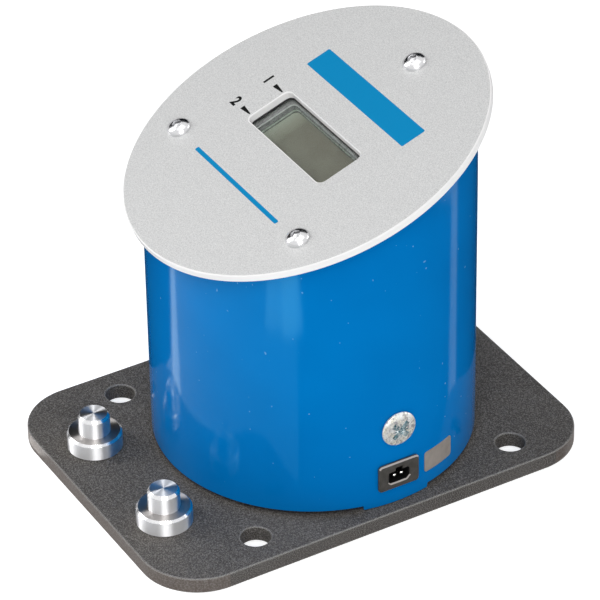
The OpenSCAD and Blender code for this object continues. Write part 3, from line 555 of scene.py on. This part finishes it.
for node, (x, y) in zip(("left_stud", "right_stud"), stud_screw_places):
    stud = turned(node + "_turned", stud_profile)
    stud.data.transform(Matrix.Translation((x, y, plate_high.z)))
    smooth(stud)
    metals = [turned_metal(f"{node}_{part}", colour, rough, (x, y, 0))
              for part, colour, rough in stud_finishes]
    dress(stud, metals[0], "base", "stud_aluminium", node)
    for metal in metals[1:]:
        stud.data.materials.append(metal)
    # The upward faces, shoulder and top, take the darker colours: painted shade.
    for side in stud.data.polygons:
        if abs(side.normal.z) < 0.1:
            side.material_index = 1
        elif side.normal.z > 0.9:
            side.material_index = 2 if side.center.z < stud_middle_z else 3

# The housing tube is steel tube, cut to a slope at the top, with a low tab under the inlet. It is
# sprayed in gloss blue, which leaves a faint orange peel and a few specks of dust.
tube_r = 70 * mm
tube_in_r = 67 * mm
face_tilt = math.radians(19.3)
face_t = 3.4 * mm
face_height = 152 * mm
edge_height = 9.5 * mm
tab_height = 7.5 * mm
tab_half = 15.5 * mm
tab_step = 0.25 * mm
tube_break = 0.35 * mm
tube_break_steps = 3
tube_steps = 480
clamp_height = 45.8 * mm
clamp_hole_r = 4.3 * mm
inlet_height = 22.3 * mm
blue_paint = (0.0, 0.178, 0.525)
blue_deep = (0.0, 0.158, 0.475)
blue_dust = (0.25, 0.5, 0.75)
blue_gloss = (0.15, 0.85, 1.0)
paint_cloud = 60 * mm
paint_peel = 4 * mm
dust_gap = 1.7 * mm


def tube_foot(angle):
    along = abs(math.sin(angle)) * tube_r if math.cos(angle) > 0 else tube_r
    return tab_height + max(0, min(1, (along - tab_half) / tab_step)) * (edge_height - tab_height)


def tube_top(r, angle):
    return face_height - face_t / math.cos(face_tilt) + r * math.sin(angle) * math.tan(face_tilt)


def tube_angles():
    marks = [math.asin((tab_half + side) / tube_r) for side in (0, tab_step)]
    even = [2 * math.pi * i / tube_steps - math.pi for i in range(tube_steps)]
    return sorted(even + marks + [-a for a in marks])


def tube_wall_rows(angle):
    foot = tube_foot(angle)
    rows = [(tube_in_r, tube_top(tube_in_r, angle)), (tube_in_r, foot)]
    for i in range(tube_break_steps + 1):
        a = math.pi / 2 * i / tube_break_steps
        rows.append((tube_r - tube_break * (1 - math.sin(a)), foot + tube_break * (1 - math.cos(a))))
    return rows + [(tube_r, tube_top(tube_r, angle))]


def tube_shell():
    shape = bmesh.new()
    columns = []
    for angle in tube_angles():
        columns.append([shape.verts.new((r * math.cos(angle), r * math.sin(angle), z))
                        for r, z in tube_wall_rows(angle)])
    count = len(columns[0])
    for left, right in zip(columns, columns[1:] + columns[:1]):
        for i in range(count):
            j = (i + 1) % count
            shape.faces.new((left[i], right[i], right[j], left[j]))
    return piece_from("housing_tube_painted", shape)


def block(name, low, high):
    (a, b, c), (d, e, f) = low, high
    verts = [(x, y, z) for z in (c, f) for x, y in ((a, b), (d, b), (d, e), (a, e))]
    faces = [(3, 2, 1, 0), (4, 5, 6, 7), (0, 1, 5, 4), (1, 2, 6, 5), (2, 3, 7, 6), (3, 0, 4, 7)]
    return add_mesh(name, verts, faces)


inlet_low, inlet_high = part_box("inlet_body")
inlet_seat = 69.6 * mm
inlet_gap = 0.2 * mm
inlet_neck = (14.6 * mm, 9.8 * mm)
tube = tube_shell()
clamp_cut = turned("clamp_cut", [(0, 0), (clamp_hole_r, 0), (clamp_hole_r, tube_r), (0, tube_r)], 48)
clamp_cut.data.transform(Matrix.Translation((tube_r / 2, 0, clamp_height)) @ Matrix.Rotation(
    math.pi / 2, 4, "Y"))
neck_cut = block("neck_cut", (tube_in_r / 2, -inlet_neck[0] / 2 - inlet_gap,
                              inlet_height - inlet_neck[1] / 2 - inlet_gap),
                 (inlet_seat + inlet_gap, inlet_neck[0] / 2 + inlet_gap,
                  inlet_height + inlet_neck[1] / 2 + inlet_gap))
seat_cut = block("seat_cut", (inlet_seat, inlet_low.y - inlet_gap, inlet_low.z - inlet_gap),
                 (tube_r * 2, inlet_high.y + inlet_gap, inlet_high.z + inlet_gap))
cut_away(tube, clamp_cut, neck_cut, seat_cut)
smooth(tube, 30)
tube_coat, tube_shader = new_finish("gloss_blue_paint", blue_paint, 0.0, 0.1)
tube_shader.inputs["Specular IOR Level"].default_value = 0.24
tube_shader.inputs["Specular Tint"].default_value = (*blue_gloss, 1)
tube_clouds = spread(tube_coat, grain(tube_coat, paint_cloud, 2), 0, 1)
tube_tone = blend_colours(tube_coat, tube_clouds, blue_paint, blue_deep)
tube_dust = spread(tube_coat, grain(tube_coat, dust_gap, 0), 0, 0.5, 0.85, 0.88)
join(blend_colours(tube_coat, tube_dust, tube_tone, blue_dust), tube_shader.inputs["Base Color"])
raise_grain(tube_coat, tube_shader, grain(tube_coat, paint_peel, 4), 0.02 * mm, 0.4)
dress(tube, tube_coat, "head", "tube_blue", "housing_tube")

# The face plate is an oval of aluminium sheet, cut square to its own face, with the display window
# and three screw holes. Its cut edge and window walls are bright, and its top carries a grey film.
face_frame = Matrix.Translation((0, 0, face_height)) @ Matrix.Rotation(face_tilt, 4, "X")
face_half_x = 75.5 * mm
face_half_y = 76.7 * mm / math.cos(face_tilt)
face_middle = -0.5 * mm - face_t * math.tan(face_tilt)
face_break = 0.35 * mm
face_screw_turn = math.radians(34.9)
face_screw_low_r = tube_r - 10 * mm
face_screw_high_r = tube_r - 18.66 * mm
face_screw_x = face_screw_low_r * math.cos(face_screw_turn)
face_screw_low = -face_screw_low_r * math.sin(face_screw_turn) / math.cos(face_tilt)
face_screw_places = [(0, face_screw_high_r / math.cos(face_tilt)),
                     (-face_screw_x, face_screw_low), (face_screw_x, face_screw_low)]
face_hole_r = 3.3 * mm
window_low = (-30.2 * mm, -13 * mm)
window_high = (29.2 * mm, 8.8 * mm)
window_r = 3 * mm
film_t = 0.08 * mm
film_inset = 0.55 * mm
film_window_near = 0.55 * mm
film_window_far = 0.25 * mm
film_hole_r = 4 * mm
face_bright = (0.88, 0.87, 0.865)
film_grey = (0.54, 0.54, 0.54)
film_pale = (0.775, 0.775, 0.77)
film_speck = 0.45 * mm


def face_oval(inset=0.0, steps=256):
    turns = [2 * math.pi * i / steps for i in range(steps)]
    return [((face_half_x - inset) * math.cos(a), face_middle + (face_half_y - inset) * math.sin(a))
            for a in turns]


face = cut_sheet("face_plate_cut",
                 [face_oval(), rounded_box(window_low, window_high, window_r)]
                 + [ring_of(face_hole_r, 48, p) for p in face_screw_places], face_t, face_break)
face.data.transform(face_frame @ Matrix.Translation((0, 0, -face_t)))
smooth(face)
face_metal, face_shader = new_finish("bright_cut_aluminium", face_bright, 0.0, 0.38)
join(spread(face_metal, grain(face_metal, 2 * mm), 0.3, 0.46), face_shader.inputs["Roughness"])
raise_grain(face_metal, face_shader, grain(face_metal, 0.6 * mm), 0.02 * mm)
dress(face, face_metal, "head", "face_aluminium", "face_plate")

film_window = rounded_box([v - film_window_near for v in window_low],
                          [v + film_window_far for v in window_high], window_r)
film = cut_sheet("face_film", [face_oval(film_inset), film_window]
                 + [ring_of(film_hole_r, 48, p) for p in face_screw_places], film_t, film_t / 4, 1)
film.data.transform(face_frame)
smooth(film)
film_skin, film_shader = new_finish("satin_grey_film", film_grey, 0.3, 0.5)
film_specks = spread(film_skin, grain(film_skin, film_speck, 2), 0, 1, 0.3, 0.7)
join(blend_colours(film_skin, film_specks, film_grey, film_pale), film_shader.inputs["Base Color"])
raise_grain(film_skin, film_shader, grain(film_skin, 0.4 * mm, 2), 0.03 * mm, 0.6)
dress(film, film_skin, "head", "face_aluminium")

# The print on the film is generic: a plain blue bar above the window, a thin blue rule below it, and
# two black pointers with the plain numbers 1 and 2 beside the window's left end.
print_t = 0.03 * mm
print_corner = 0.6 * mm
bar_low = (-38 * mm, 22.8 * mm)
bar_high = (38.4 * mm, 34.6 * mm)
rule_low = (-32.5 * mm, -38.4 * mm)
rule_high = (34 * mm, -36.4 * mm)
pointer_tip_x = -31.6 * mm
pointer_base_x = -38 * mm
pointer_half = 1.1 * mm
pointer_blunt = 0.3 * mm
pointer_rows = [6.2 * mm, -10.6 * mm]
number_size = 7 * mm
number_weight = 0.25 * mm
number_x = -43.5 * mm
print_blue = (0.0, 0.235, 0.50)
print_black = (0.004, 0.004, 0.004)


def printed(name, outline, ink):
    mark = cut_sheet(name, [outline], print_t, print_t / 4, 1)
    mark.data.transform(face_frame @ Matrix.Translation((0, 0, film_t)))
    dress(mark, ink, "head", "face_aluminium")


def ink_of(name, colour):
    ink, shader = new_finish(name, colour, 0.0, 0.45)
    shader.inputs["Specular IOR Level"].default_value = 0.12
    join(spread(ink, grain(ink, 0.5 * mm), 0.38, 0.55), shader.inputs["Roughness"])
    raise_grain(ink, shader, grain(ink, 0.4 * mm, 2), 0.02 * mm, 0.5)
    return ink


blue_ink = ink_of("blue_ink", print_blue)
black_ink = ink_of("black_ink", print_black)
printed("blue_bar", rounded_box(bar_low, bar_high, print_corner, 4), blue_ink)
printed("blue_rule", rounded_box(rule_low, rule_high, print_corner, 4), blue_ink)
for number, row in enumerate(pointer_rows, 1):
    printed(f"pointer_{number}", [(pointer_base_x, row - pointer_half),
                                  (pointer_tip_x, row - pointer_blunt),
                                  (pointer_tip_x, row + pointer_blunt),
                                  (pointer_base_x, row + pointer_half)], black_ink)
    letters = bpy.data.curves.new(f"number_{number}", "FONT")
    letters.body = str(number)
    letters.size = number_size
    letters.align_x = "CENTER"
    letters.align_y = "CENTER"
    letters.offset = number_weight
    letters.extrude = print_t / 2
    digit = bpy.data.objects.new(f"number_{number}", letters)
    digit.matrix_world = face_frame @ Matrix.Translation((number_x, row, film_t + print_t / 2))
    bpy.context.scene.collection.objects.link(digit)
    dress(digit, black_ink, "head", "face_aluminium")

# Three button-head screws hold the face plate to the welded lugs. They are plated steel, with a
# domed head and a hexagon socket.
button_r = 5.25 * mm
button_h = 3.3 * mm
button_rim = 0.5 * mm
button_break = 0.1 * mm
key_r = 2.32 * mm
key_depth = 2.1 * mm
face_shank_r = 3 * mm
face_shank_l = 13.4 * mm
screw_colour = (0.70, 0.70, 0.71)
screw_grain = 0.9 * mm


def screw_steel_of(name, colour, rough_low, rough_high):
    made, shader = new_finish(name, colour, 1.0, 0.3)
    join(spread(made, grain(made, screw_grain), rough_low, rough_high), shader.inputs["Roughness"])
    raise_grain(made, shader, grain(made, screw_grain, 2), 0.004 * mm)
    return made


def dome(r, h, rim, steps=10):
    arcs = [math.pi / 2 * i / steps for i in range(steps + 1)]
    return [(r * math.cos(a), rim + (h - rim) * math.sin(a)) for a in arcs]


def button_screw(name):
    screw = turned(name, [(0, -face_shank_l), (face_shank_r, -face_shank_l), (face_shank_r, 0),
                          (button_r - button_break, 0), (button_r, button_break)]
                   + dome(button_r, button_h, button_rim), 96)
    socket = turned("socket_cut", [(0, button_h - key_depth - key_r / 2), (key_r, button_h - key_depth),
                                   (key_r, 2 * button_h), (0, 2 * button_h)], 6)
    cut_away(screw, socket)
    return screw


screw_metal = screw_steel_of("plated_screw_steel", screw_colour, 0.12, 0.24)
for number, (u, v) in enumerate(face_screw_places, 1):
    screw = button_screw(f"face_screw_{number}")
    screw.data.transform(face_frame @ Matrix.Translation((u, v, film_t)))
    smooth(screw, 35)
    if number == 1:
        dress(screw, screw_metal, "head", "plated_steel", "face_screws")
    else:
        dress(screw, screw_metal, "head", "plated_steel")

# The clamp screw is a large zinc-plated pan head with a ribbed cross recess, undercut at its seat. It
# goes through the tube into the carrier ring, and clamps the head where the face is to point.
clamp_low, clamp_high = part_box("clamp_screw")
clamp_head_r = 8 * mm
clamp_head_h = 2.8 * mm
clamp_rim = 0.9 * mm
clamp_flare = 0.7 * mm
clamp_undercut = 0.6 * mm
clamp_undercut_h = 0.4 * mm
clamp_shank_r = 4 * mm
clamp_tip_r = 2.6 * mm
clamp_tip_l = 3 * mm
cross_r = 5.9 * mm
cross_w = 2.3 * mm
cross_depth = 2.3 * mm
cross_taper = 0.7
rib_r = 4.2 * mm
rib_w = 0.6 * mm
rib_depth = 1.3 * mm
zinc_colour = (0.93, 0.94, 0.93)
zinc_warm = (0.80, 0.77, 0.66)
zinc_painted_shade = (0.01, 0.19, 0.25)
zinc_painted_highlight = (0.95, 0.96, 0.95)
zinc_dull = (0.18, 0.17, 0.22)


def cross_cut(name, reach, width, depth, turn):
    cutter = block(name, (-reach, -width / 2, clamp_head_h - depth),
                   (reach, width / 2, 2 * clamp_head_h))
    for v in cutter.data.vertices:
        if v.co.z < clamp_head_h:
            v.co.x *= cross_taper
    cutter.data.transform(Matrix.Rotation(turn, 4, "Z"))
    return cutter


clamp_reach = clamp_high.x - clamp_head_h - clamp_low.x
clamp = turned("clamp_screw_zinc", [(0, -clamp_reach), (clamp_tip_r, -clamp_reach),
                                    (clamp_tip_r, -clamp_reach + clamp_tip_l),
                                    (clamp_shank_r, -clamp_reach + clamp_tip_l), (clamp_shank_r, 0),
                                    (clamp_head_r - clamp_undercut, 0),
                                    (clamp_head_r - clamp_undercut, clamp_undercut_h),
                                    (clamp_head_r, clamp_flare)]
               + dome(clamp_head_r, clamp_head_h, clamp_rim, 14))
clamp_cutters = [cross_cut(f"{name}_{i}", *sizes, turn + i * math.pi / 2)
                 for name, turn, *sizes in (("cross", math.pi / 4, cross_r, cross_w, cross_depth),
                                            ("rib", 0, rib_r, rib_w, rib_depth))
                 for i in range(2)]
cut_away(clamp, *clamp_cutters)
clamp.data.transform(Matrix.Translation((clamp_high.x - clamp_head_h, 0, clamp_height))
                     @ Matrix.Rotation(math.pi / 2, 4, "Y"))
smooth(clamp, 35)
zinc, zinc_shader = new_finish("bright_zinc", zinc_colour, 0.35, 0.22)
zinc_patches = spread(zinc, grain(zinc, 3 * mm), 0, 1)
zinc_tone = blend_colours(zinc, zinc_patches, zinc_colour, zinc_warm)
zinc_film = spread(zinc, grain(zinc, 1.4 * mm, 4), 0, 0.6, 0.52, 0.62)
join(blend_colours(zinc, zinc_film, zinc_tone, zinc_dull), zinc_shader.inputs["Base Color"])
join(spread(zinc, grain(zinc, 1.5 * mm), 0.12, 0.32), zinc_shader.inputs["Roughness"])
raise_grain(zinc, zinc_shader, grain(zinc, 2 * mm), 0.03 * mm, 0.6)
dress(clamp, zinc, "head", "zinc_screw", "clamp_screw")
# The cross recess is coloured by its faces: its walls get a bright painted highlight, and its floor a
# dark teal painted shade, mottled into each other.
recess_rough = (0.15, 0.3)
recess_wall = finish_of("zinc_recess_wall", zinc_painted_highlight, zinc_painted_shade, 0.6, recess_rough, 2 * mm, 0.02 * mm)
recess_floor = finish_of("zinc_recess_floor", zinc_painted_shade, zinc_painted_highlight, 0.5, recess_rough, 1.1 * mm,
                         0.05 * mm)
clamp.data.materials.append(recess_wall)
clamp.data.materials.append(recess_floor)
# Recess walls take the painted highlight, the recess floor the painted shade.
for side in clamp.data.polygons:
    across = math.hypot(side.center.y, side.center.z - clamp_height)
    if side.center.x > clamp_high.x - clamp_head_h and across < cross_r:
        if abs(side.normal.x) < 0.6:
            side.material_index = 1
        elif side.center.x < clamp_high.x - 0.8 * rib_depth:
            side.material_index = 2

# The power inlet is a dark grey moulding with a flat flange, a two-pin recess and a notch that
# keys the plug. The recess's lining and the body behind it are near black: painted shade. A spring
# clip inside the tube holds the inlet, and its round pins are nickel plated.
inlet_proud_x = inlet_high.x
flange_corner = 1.7 * mm
flange_break = 0.55 * mm
pin_z = inlet_height - 0.6 * mm
recess_half = 4.6 * mm
recess_half_h = 2.4 * mm
recess_low = pin_z - recess_half_h
recess_high = pin_z + recess_half_h
recess_depth = 8 * mm
notch_half = 1.5 * mm
notch_high = recess_high + 1.5 * mm
corner_cut = 0.4 * mm
key_cut = 1.1 * mm
liner_wall = 0.45 * mm
liner_sunk = 0.4 * mm
pin_r = 0.95 * mm
pin_reach = 0.3 * mm
pin_y = 1.75 * mm
moulded_grey = (0.056, 0.052, 0.046)
moulded_wear_and_highlight = (0.42, 0.39, 0.37)
recess_black_painted_shade = (0.006, 0.006, 0.006)
flange_turn = Matrix(((0, 0, 1, 0), (1, 0, 0, 0), (0, 1, 0, 0), (0, 0, 0, 1)))
recess_outline = [(-recess_half, recess_low + corner_cut), (-recess_half + corner_cut, recess_low),
                  (recess_half - key_cut, recess_low), (recess_half, recess_low + key_cut),
                  (recess_half, recess_high - corner_cut), (recess_half - corner_cut, recess_high),
                  (notch_half, recess_high), (notch_half, notch_high),
                  (-notch_half, notch_high), (-notch_half, recess_high), (-recess_half, recess_high)]
flange = cut_sheet("inlet_flange",
                   [rounded_box((inlet_low.y, inlet_low.z), (inlet_high.y, inlet_high.z),
                                flange_corner, 8), moved_in(recess_outline, -liner_wall)],
                   inlet_proud_x - inlet_seat, flange_break, 1)
flange.data.transform(Matrix.Translation((inlet_seat, 0, 0)) @ flange_turn)
smooth(flange, 25)
inlet_skin, inlet_shader = new_finish("moulded_dark_grey", moulded_grey, 0.0, 0.4)
join(spread(inlet_skin, grain(inlet_skin, 1.2 * mm), 0.32, 0.5), inlet_shader.inputs["Roughness"])
inlet_clouds = spread(inlet_skin, grain(inlet_skin, 2.5 * mm), 0, 0.06)
inlet_tone = blend_colours(inlet_skin, inlet_clouds, moulded_grey, moulded_wear_and_highlight)
join(inlet_tone, inlet_shader.inputs["Base Color"])
raise_grain(inlet_skin, inlet_shader, grain(inlet_skin, 0.4 * mm, 2), 0.02 * mm, 0.6)
dress(flange, inlet_skin, "head", "inlet_plastic", "inlet_body")
# The front chamfers and the recess wall that face upward are coloured pale grey: a painted highlight.
flange.data.materials.append(ink_of("pale_edge_painted_highlight", moulded_wear_and_highlight))
for side in flange.data.polygons:
    if side.normal.z > 0.3 and side.center.x > inlet_proud_x - flange_break:
        side.material_index = 1

shroud = block("inlet_shroud", (inlet_low.x, -inlet_neck[0] / 2, inlet_height - inlet_neck[1] / 2),
               (inlet_seat, inlet_neck[0] / 2, inlet_height + inlet_neck[1] / 2))
hollow = cut_sheet("hollow_cut", [recess_outline], tube_r, 0.01 * mm, 1)
hollow.data.transform(Matrix.Translation((inlet_proud_x - recess_depth, 0, 0)) @ flange_turn)
cut_away(shroud, hollow)
smooth(shroud, 35)
# The recess's lining and the body behind it are coloured near black: painted shade in the recess.
shroud_painted_shade = ink_of("recess_black_painted_shade", recess_black_painted_shade)
dress(shroud, shroud_painted_shade, "head", "inlet_plastic")
liner = cut_sheet("inlet_liner", [moved_in(recess_outline, -liner_wall), recess_outline],
                  inlet_proud_x - liner_sunk - inlet_seat, 0.05 * mm, 1)
liner.data.transform(Matrix.Translation((inlet_seat, 0, 0)) @ flange_turn)
smooth(liner, 35)
dress(liner, shroud_painted_shade, "head", "inlet_plastic")

pin_low, pin_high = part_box("inlet_pins")
pin_l = pin_high.x + pin_reach - pin_low.x
pin_colour = (0.85, 0.84, 0.80)
pin_metal = screw_steel_of("nickel_pin", pin_colour, 0.1, 0.22)
for number, side in enumerate((-1, 1), 1):
    pin = turned(f"inlet_pin_{number}", [(0, 0), (pin_r, 0)] + dome(pin_r, pin_l, pin_l - pin_r, 6), 32)
    pin.data.transform(Matrix.Translation((pin_low.x, side * pin_y, pin_z))
                       @ Matrix.Rotation(math.pi / 2, 4, "Y"))
    smooth(pin)
    if number == 1:
        dress(pin, pin_metal, "head", "pin_metal", "inlet_pins")
    else:
        dress(pin, pin_metal, "head", "pin_metal")

# The rating plate is a strip of satin foil with rounded corners. It is stuck on the tube beside the
# inlet and follows the tube's curve.
label_low, label_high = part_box("rating_plate")
label_from = math.radians(11.4)
label_sweep = math.radians(14.1)
label_t = 0.3 * mm
label_corner = 1.4 * mm
label_edge = 0.06 * mm
label_slices = 24
label_silver = (0.44, 0.39, 0.35)
label_dull = (0.36, 0.32, 0.285)
label_outline = rounded_box((0, label_low.z), (label_sweep * tube_r, label_high.z), label_corner, 8)
label = cut_sheet("rating_plate_foil", [label_outline], label_t, label_edge, 2)
curved = bmesh.new()
curved.from_mesh(label.data)
for cut in range(1, label_slices):
    bmesh.ops.bisect_plane(curved, geom=curved.verts[:] + curved.edges[:] + curved.faces[:],
                           plane_co=(label_sweep * tube_r * cut / label_slices, 0, 0),
                           plane_no=(1, 0, 0))
for v in curved.verts:
    angle = label_from + v.co.x / tube_r
    v.co = Vector(((tube_r + v.co.z) * math.cos(angle), (tube_r + v.co.z) * math.sin(angle), v.co.y))
curved.to_mesh(label.data)
curved.free()
smooth(label)
label_foil, label_shader = new_finish("satin_foil", label_silver, 0.3, 0.42)
label_clouds = spread(label_foil, grain(label_foil, 5 * mm), 0, 1)
join(blend_colours(label_foil, label_clouds, label_silver, label_dull),
     label_shader.inputs["Base Color"])
raise_grain(label_foil, label_shader, grain(label_foil, 0.5 * mm, 2), 0.02 * mm)
dress(label, label_foil, "head", "plate_silver", "rating_plate")

# Behind the window a black rubber seal carries a clear acrylic pane, and the display cell lies just
# below it: two sheets of glass on a grey-green reflector, whose stepped borders show at the edges.
window_middle = (-0.5 * mm, -2.1 * mm, 0)
window_frame = face_frame @ Matrix.Translation(window_middle)
pane_half = (33.9 * mm, 15.1 * mm)
pane_top = -4.0 * mm
pane_t = 1.0 * mm
pane_edge = 0.1 * mm
pane_corner = 0.5 * mm
cell_half = (32.3 * mm, 13.5 * mm)
cell_base = -8.0 * mm
cell_t = 1.3 * mm
cell_edge = 0.1 * mm
cell_glass_corner = 0.3 * mm
cell_step_inset = 0.02 * mm
cell_step_edge = 0.05 * mm
cell_near_inset = 0.6 * mm
cell_corner = 2.5 * mm
cell_painted_light_from = -cell_half[0] + 8.5 * mm
cell_painted_light_to = -cell_half[0] + 19 * mm
cell_olive = (0.155, 0.143, 0.108)
cell_pale_and_painted_light = (0.37, 0.405, 0.325)
pane_colour = (0.93, 0.96, 0.94)


def centred(half, inset=0.0):
    return (-half[0] + inset, -half[1] + inset), (half[0] - inset, half[1] - inset)


pane = cut_sheet("window_pane_clear", [rounded_box(*centred(pane_half), pane_corner, 4)], pane_t,
                 pane_edge)
pane.data.transform(window_frame @ Matrix.Translation((0, 0, pane_top - pane_t)))
smooth(pane)
pane_clear, pane_shader = new_finish("clear_acrylic", pane_colour, 0.0, 0.03)
pane_shader.inputs["Transmission Weight"].default_value = 1.0
pane_shader.inputs["IOR"].default_value = 1.45
join(spread(pane_clear, grain(pane_clear, 12 * mm), 0.0, 0.06), pane_shader.inputs["Roughness"])
dress(pane, pane_clear, "head", "clear_pane", "window_pane")

cell = cut_sheet("display_cell", [rounded_box(*centred(cell_half), cell_glass_corner, 4)], cell_t,
                 cell_edge)
cell.data.transform(window_frame @ Matrix.Translation((0, 0, cell_base)))
smooth(cell)
cell_skin, cell_shader = new_finish("grey_green_reflector", cell_olive, 0.0, 0.4)
cell_place = cell_skin.node_tree.nodes.new("ShaderNodeTexCoord")
cell_apart = cell_skin.node_tree.nodes.new("ShaderNodeSeparateXYZ")
join(cell_place.outputs["Object"], cell_apart.inputs[0])
# The reflector turns paler and greener towards its left end: painted light leaking in at that edge.
cell_painted_light = spread(cell_skin, cell_apart.outputs["X"], 0.8, 0, cell_painted_light_from, cell_painted_light_to)
cell_tone = blend_colours(cell_skin, cell_painted_light, cell_olive, cell_pale_and_painted_light)
cell_clouds = spread(cell_skin, grain(cell_skin, 9 * mm), 0, 0.12)
join(blend_colours(cell_skin, cell_clouds, cell_tone, cell_pale_and_painted_light), cell_shader.inputs["Base Color"])
cell_shader.inputs["Specular IOR Level"].default_value = 0.25
raise_grain(cell_skin, cell_shader, grain(cell_skin, 3 * mm, 2), 0.005 * mm)
dress(cell, cell_skin, "head", "display_glass", "lcd_panel")
# The second step, a pale line just inside the border, is a painted highlight of the glass edge.
for name, left, top, height, colour in (
        ("cell_border", 4.9, 3.5, 1.4, (0.26, 0.26, 0.26)),
        ("cell_edge_painted_highlight", 5.5, 3.6, 1.1, (0.50, 0.51, 0.51)),
        ("cell_seal_line", 7.9, 4.3, 0.8, (0.13, 0.135, 0.13)),
        ("cell_polariser", 8.6, 4.5, 0.45, (0.33, 0.38, 0.32)),
        ("cell_shade", 9.1, 5.0, 0.2, (0.09, 0.095, 0.08))):
    opening = rounded_box((left * mm - cell_half[0], cell_near_inset - cell_half[1]),
                          (cell_half[0] - cell_near_inset, cell_half[1] - top * mm), cell_corner)
    border = rounded_box(*centred(cell_half, cell_step_inset), cell_glass_corner, 4)
    step = cut_sheet(name, [border, opening], height * mm, cell_step_edge, 2)
    step.data.transform(window_frame @ Matrix.Translation((0, 0, cell_base + cell_t)))
    smooth(step)
    tint = finish_of(name + "_glass", colour, [c * 1.2 for c in colour], 0.0, (0.2, 0.4), 3 * mm,
                     0.01 * mm)
    dress(step, tint, "head", "display_glass")

# The seal's rubber, the holder and the strips that join the display cell to its board are plain black
# and grey mouldings. The boards are green glass fibre with black chips and blue sleeved capacitors.
def paint(name, colour, other, metal, rough, cell, height, *nodes):
    made = finish_of(name, colour, other, metal, rough, cell * mm, height * mm)
    for node in nodes:
        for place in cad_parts[node].material_slots:
            place.material = made


paint("black_rubber", (0.012, 0.012, 0.012), (0.02, 0.02, 0.02), 0, (0.55, 0.8), 2, 0.02,
      "window_seal")
paint("black_moulding", (0.02, 0.02, 0.022), (0.035, 0.035, 0.037), 0, (0.35, 0.55), 1.5, 0.02,
      "lcd_holder", "display_chip", "display_socket", "board_socket", "board_chips", "gauge_socket")
paint("grey_silicone_strip", (0.22, 0.23, 0.24), (0.30, 0.31, 0.32), 0, (0.5, 0.7), 1, 0.02,
      "contact_strips")
paint("green_circuit_board", (0.012, 0.115, 0.045), (0.02, 0.16, 0.065), 0, (0.22, 0.4), 3, 0.02,
      "display_board", "measuring_board", "gauge_terminals")
paint("capacitor_sleeve", (0.02, 0.035, 0.09), (0.03, 0.05, 0.12), 0, (0.25, 0.4), 2, 0.01,
      "board_capacitors")
paint("cream_moulding", (0.72, 0.68, 0.58), (0.8, 0.77, 0.68), 0, (0.35, 0.5), 2, 0.02,
      "gauge_plug", "supply_socket")
paint("grey_ribbon", (0.32, 0.34, 0.36), (0.42, 0.44, 0.46), 0, (0.4, 0.55), 1.3, 0.05,
      "ribbon_cable")
paint("black_lead_sheath", (0.018, 0.018, 0.019), (0.03, 0.03, 0.032), 0, (0.4, 0.6), 1.5, 0.03,
      "supply_lead", "gauge_lead")

# Turned brass spacers and pillars carry the boards, with plated steel screws, studs and nuts. The lugs
# are steel blocks welded into the tube, and a spring steel clip holds the inlet.
paint("turned_brass", (0.68, 0.48, 0.20), (0.74, 0.55, 0.27), 1, (0.2, 0.35), 2, 0.01,
      "display_spacers", "board_pillars")
paint("plated_steel", (0.62, 0.63, 0.65), (0.72, 0.72, 0.73), 1, (0.18, 0.34), 2, 0.01,
      "display_screws", "board_screws", "stop_pin", "inlet_clip")
paint("sawn_steel", (0.42, 0.42, 0.43), (0.52, 0.52, 0.53), 1, (0.35, 0.55), 3, 0.03,
      "face_lugs")

# The pedestal and the carrier ring are turned from aluminium, with a slippery white ring between them.
# The measuring shaft is ground steel in a bronze bush, held by black steel screws, with foil gauges.
paint("turned_aluminium", (0.68, 0.68, 0.70), (0.76, 0.76, 0.77), 1, (0.22, 0.38), 3, 0.02,
      "pedestal", "carrier_ring")
paint("white_slide_plastic", (0.78, 0.76, 0.70), (0.84, 0.82, 0.77), 0, (0.4, 0.6), 3, 0.02,
      "slide_ring")
paint("ground_steel", (0.50, 0.50, 0.52), (0.60, 0.60, 0.61), 1, (0.2, 0.34), 3, 0.01,
      "measuring_shaft")
paint("cast_bronze", (0.60, 0.40, 0.17), (0.66, 0.47, 0.23), 1, (0.28, 0.45), 2, 0.02,
      "drive_bush")
paint("blackened_steel", (0.05, 0.05, 0.052), (0.09, 0.09, 0.092), 0.9, (0.3, 0.5), 2, 0.02,
      "pedestal_screws", "shaft_screws", "stud_screws")
paint("gauge_foil", (0.55, 0.30, 0.10), (0.66, 0.38, 0.14), 0.5, (0.25, 0.4), 0.8, 0.02,
      "strain_gauges")
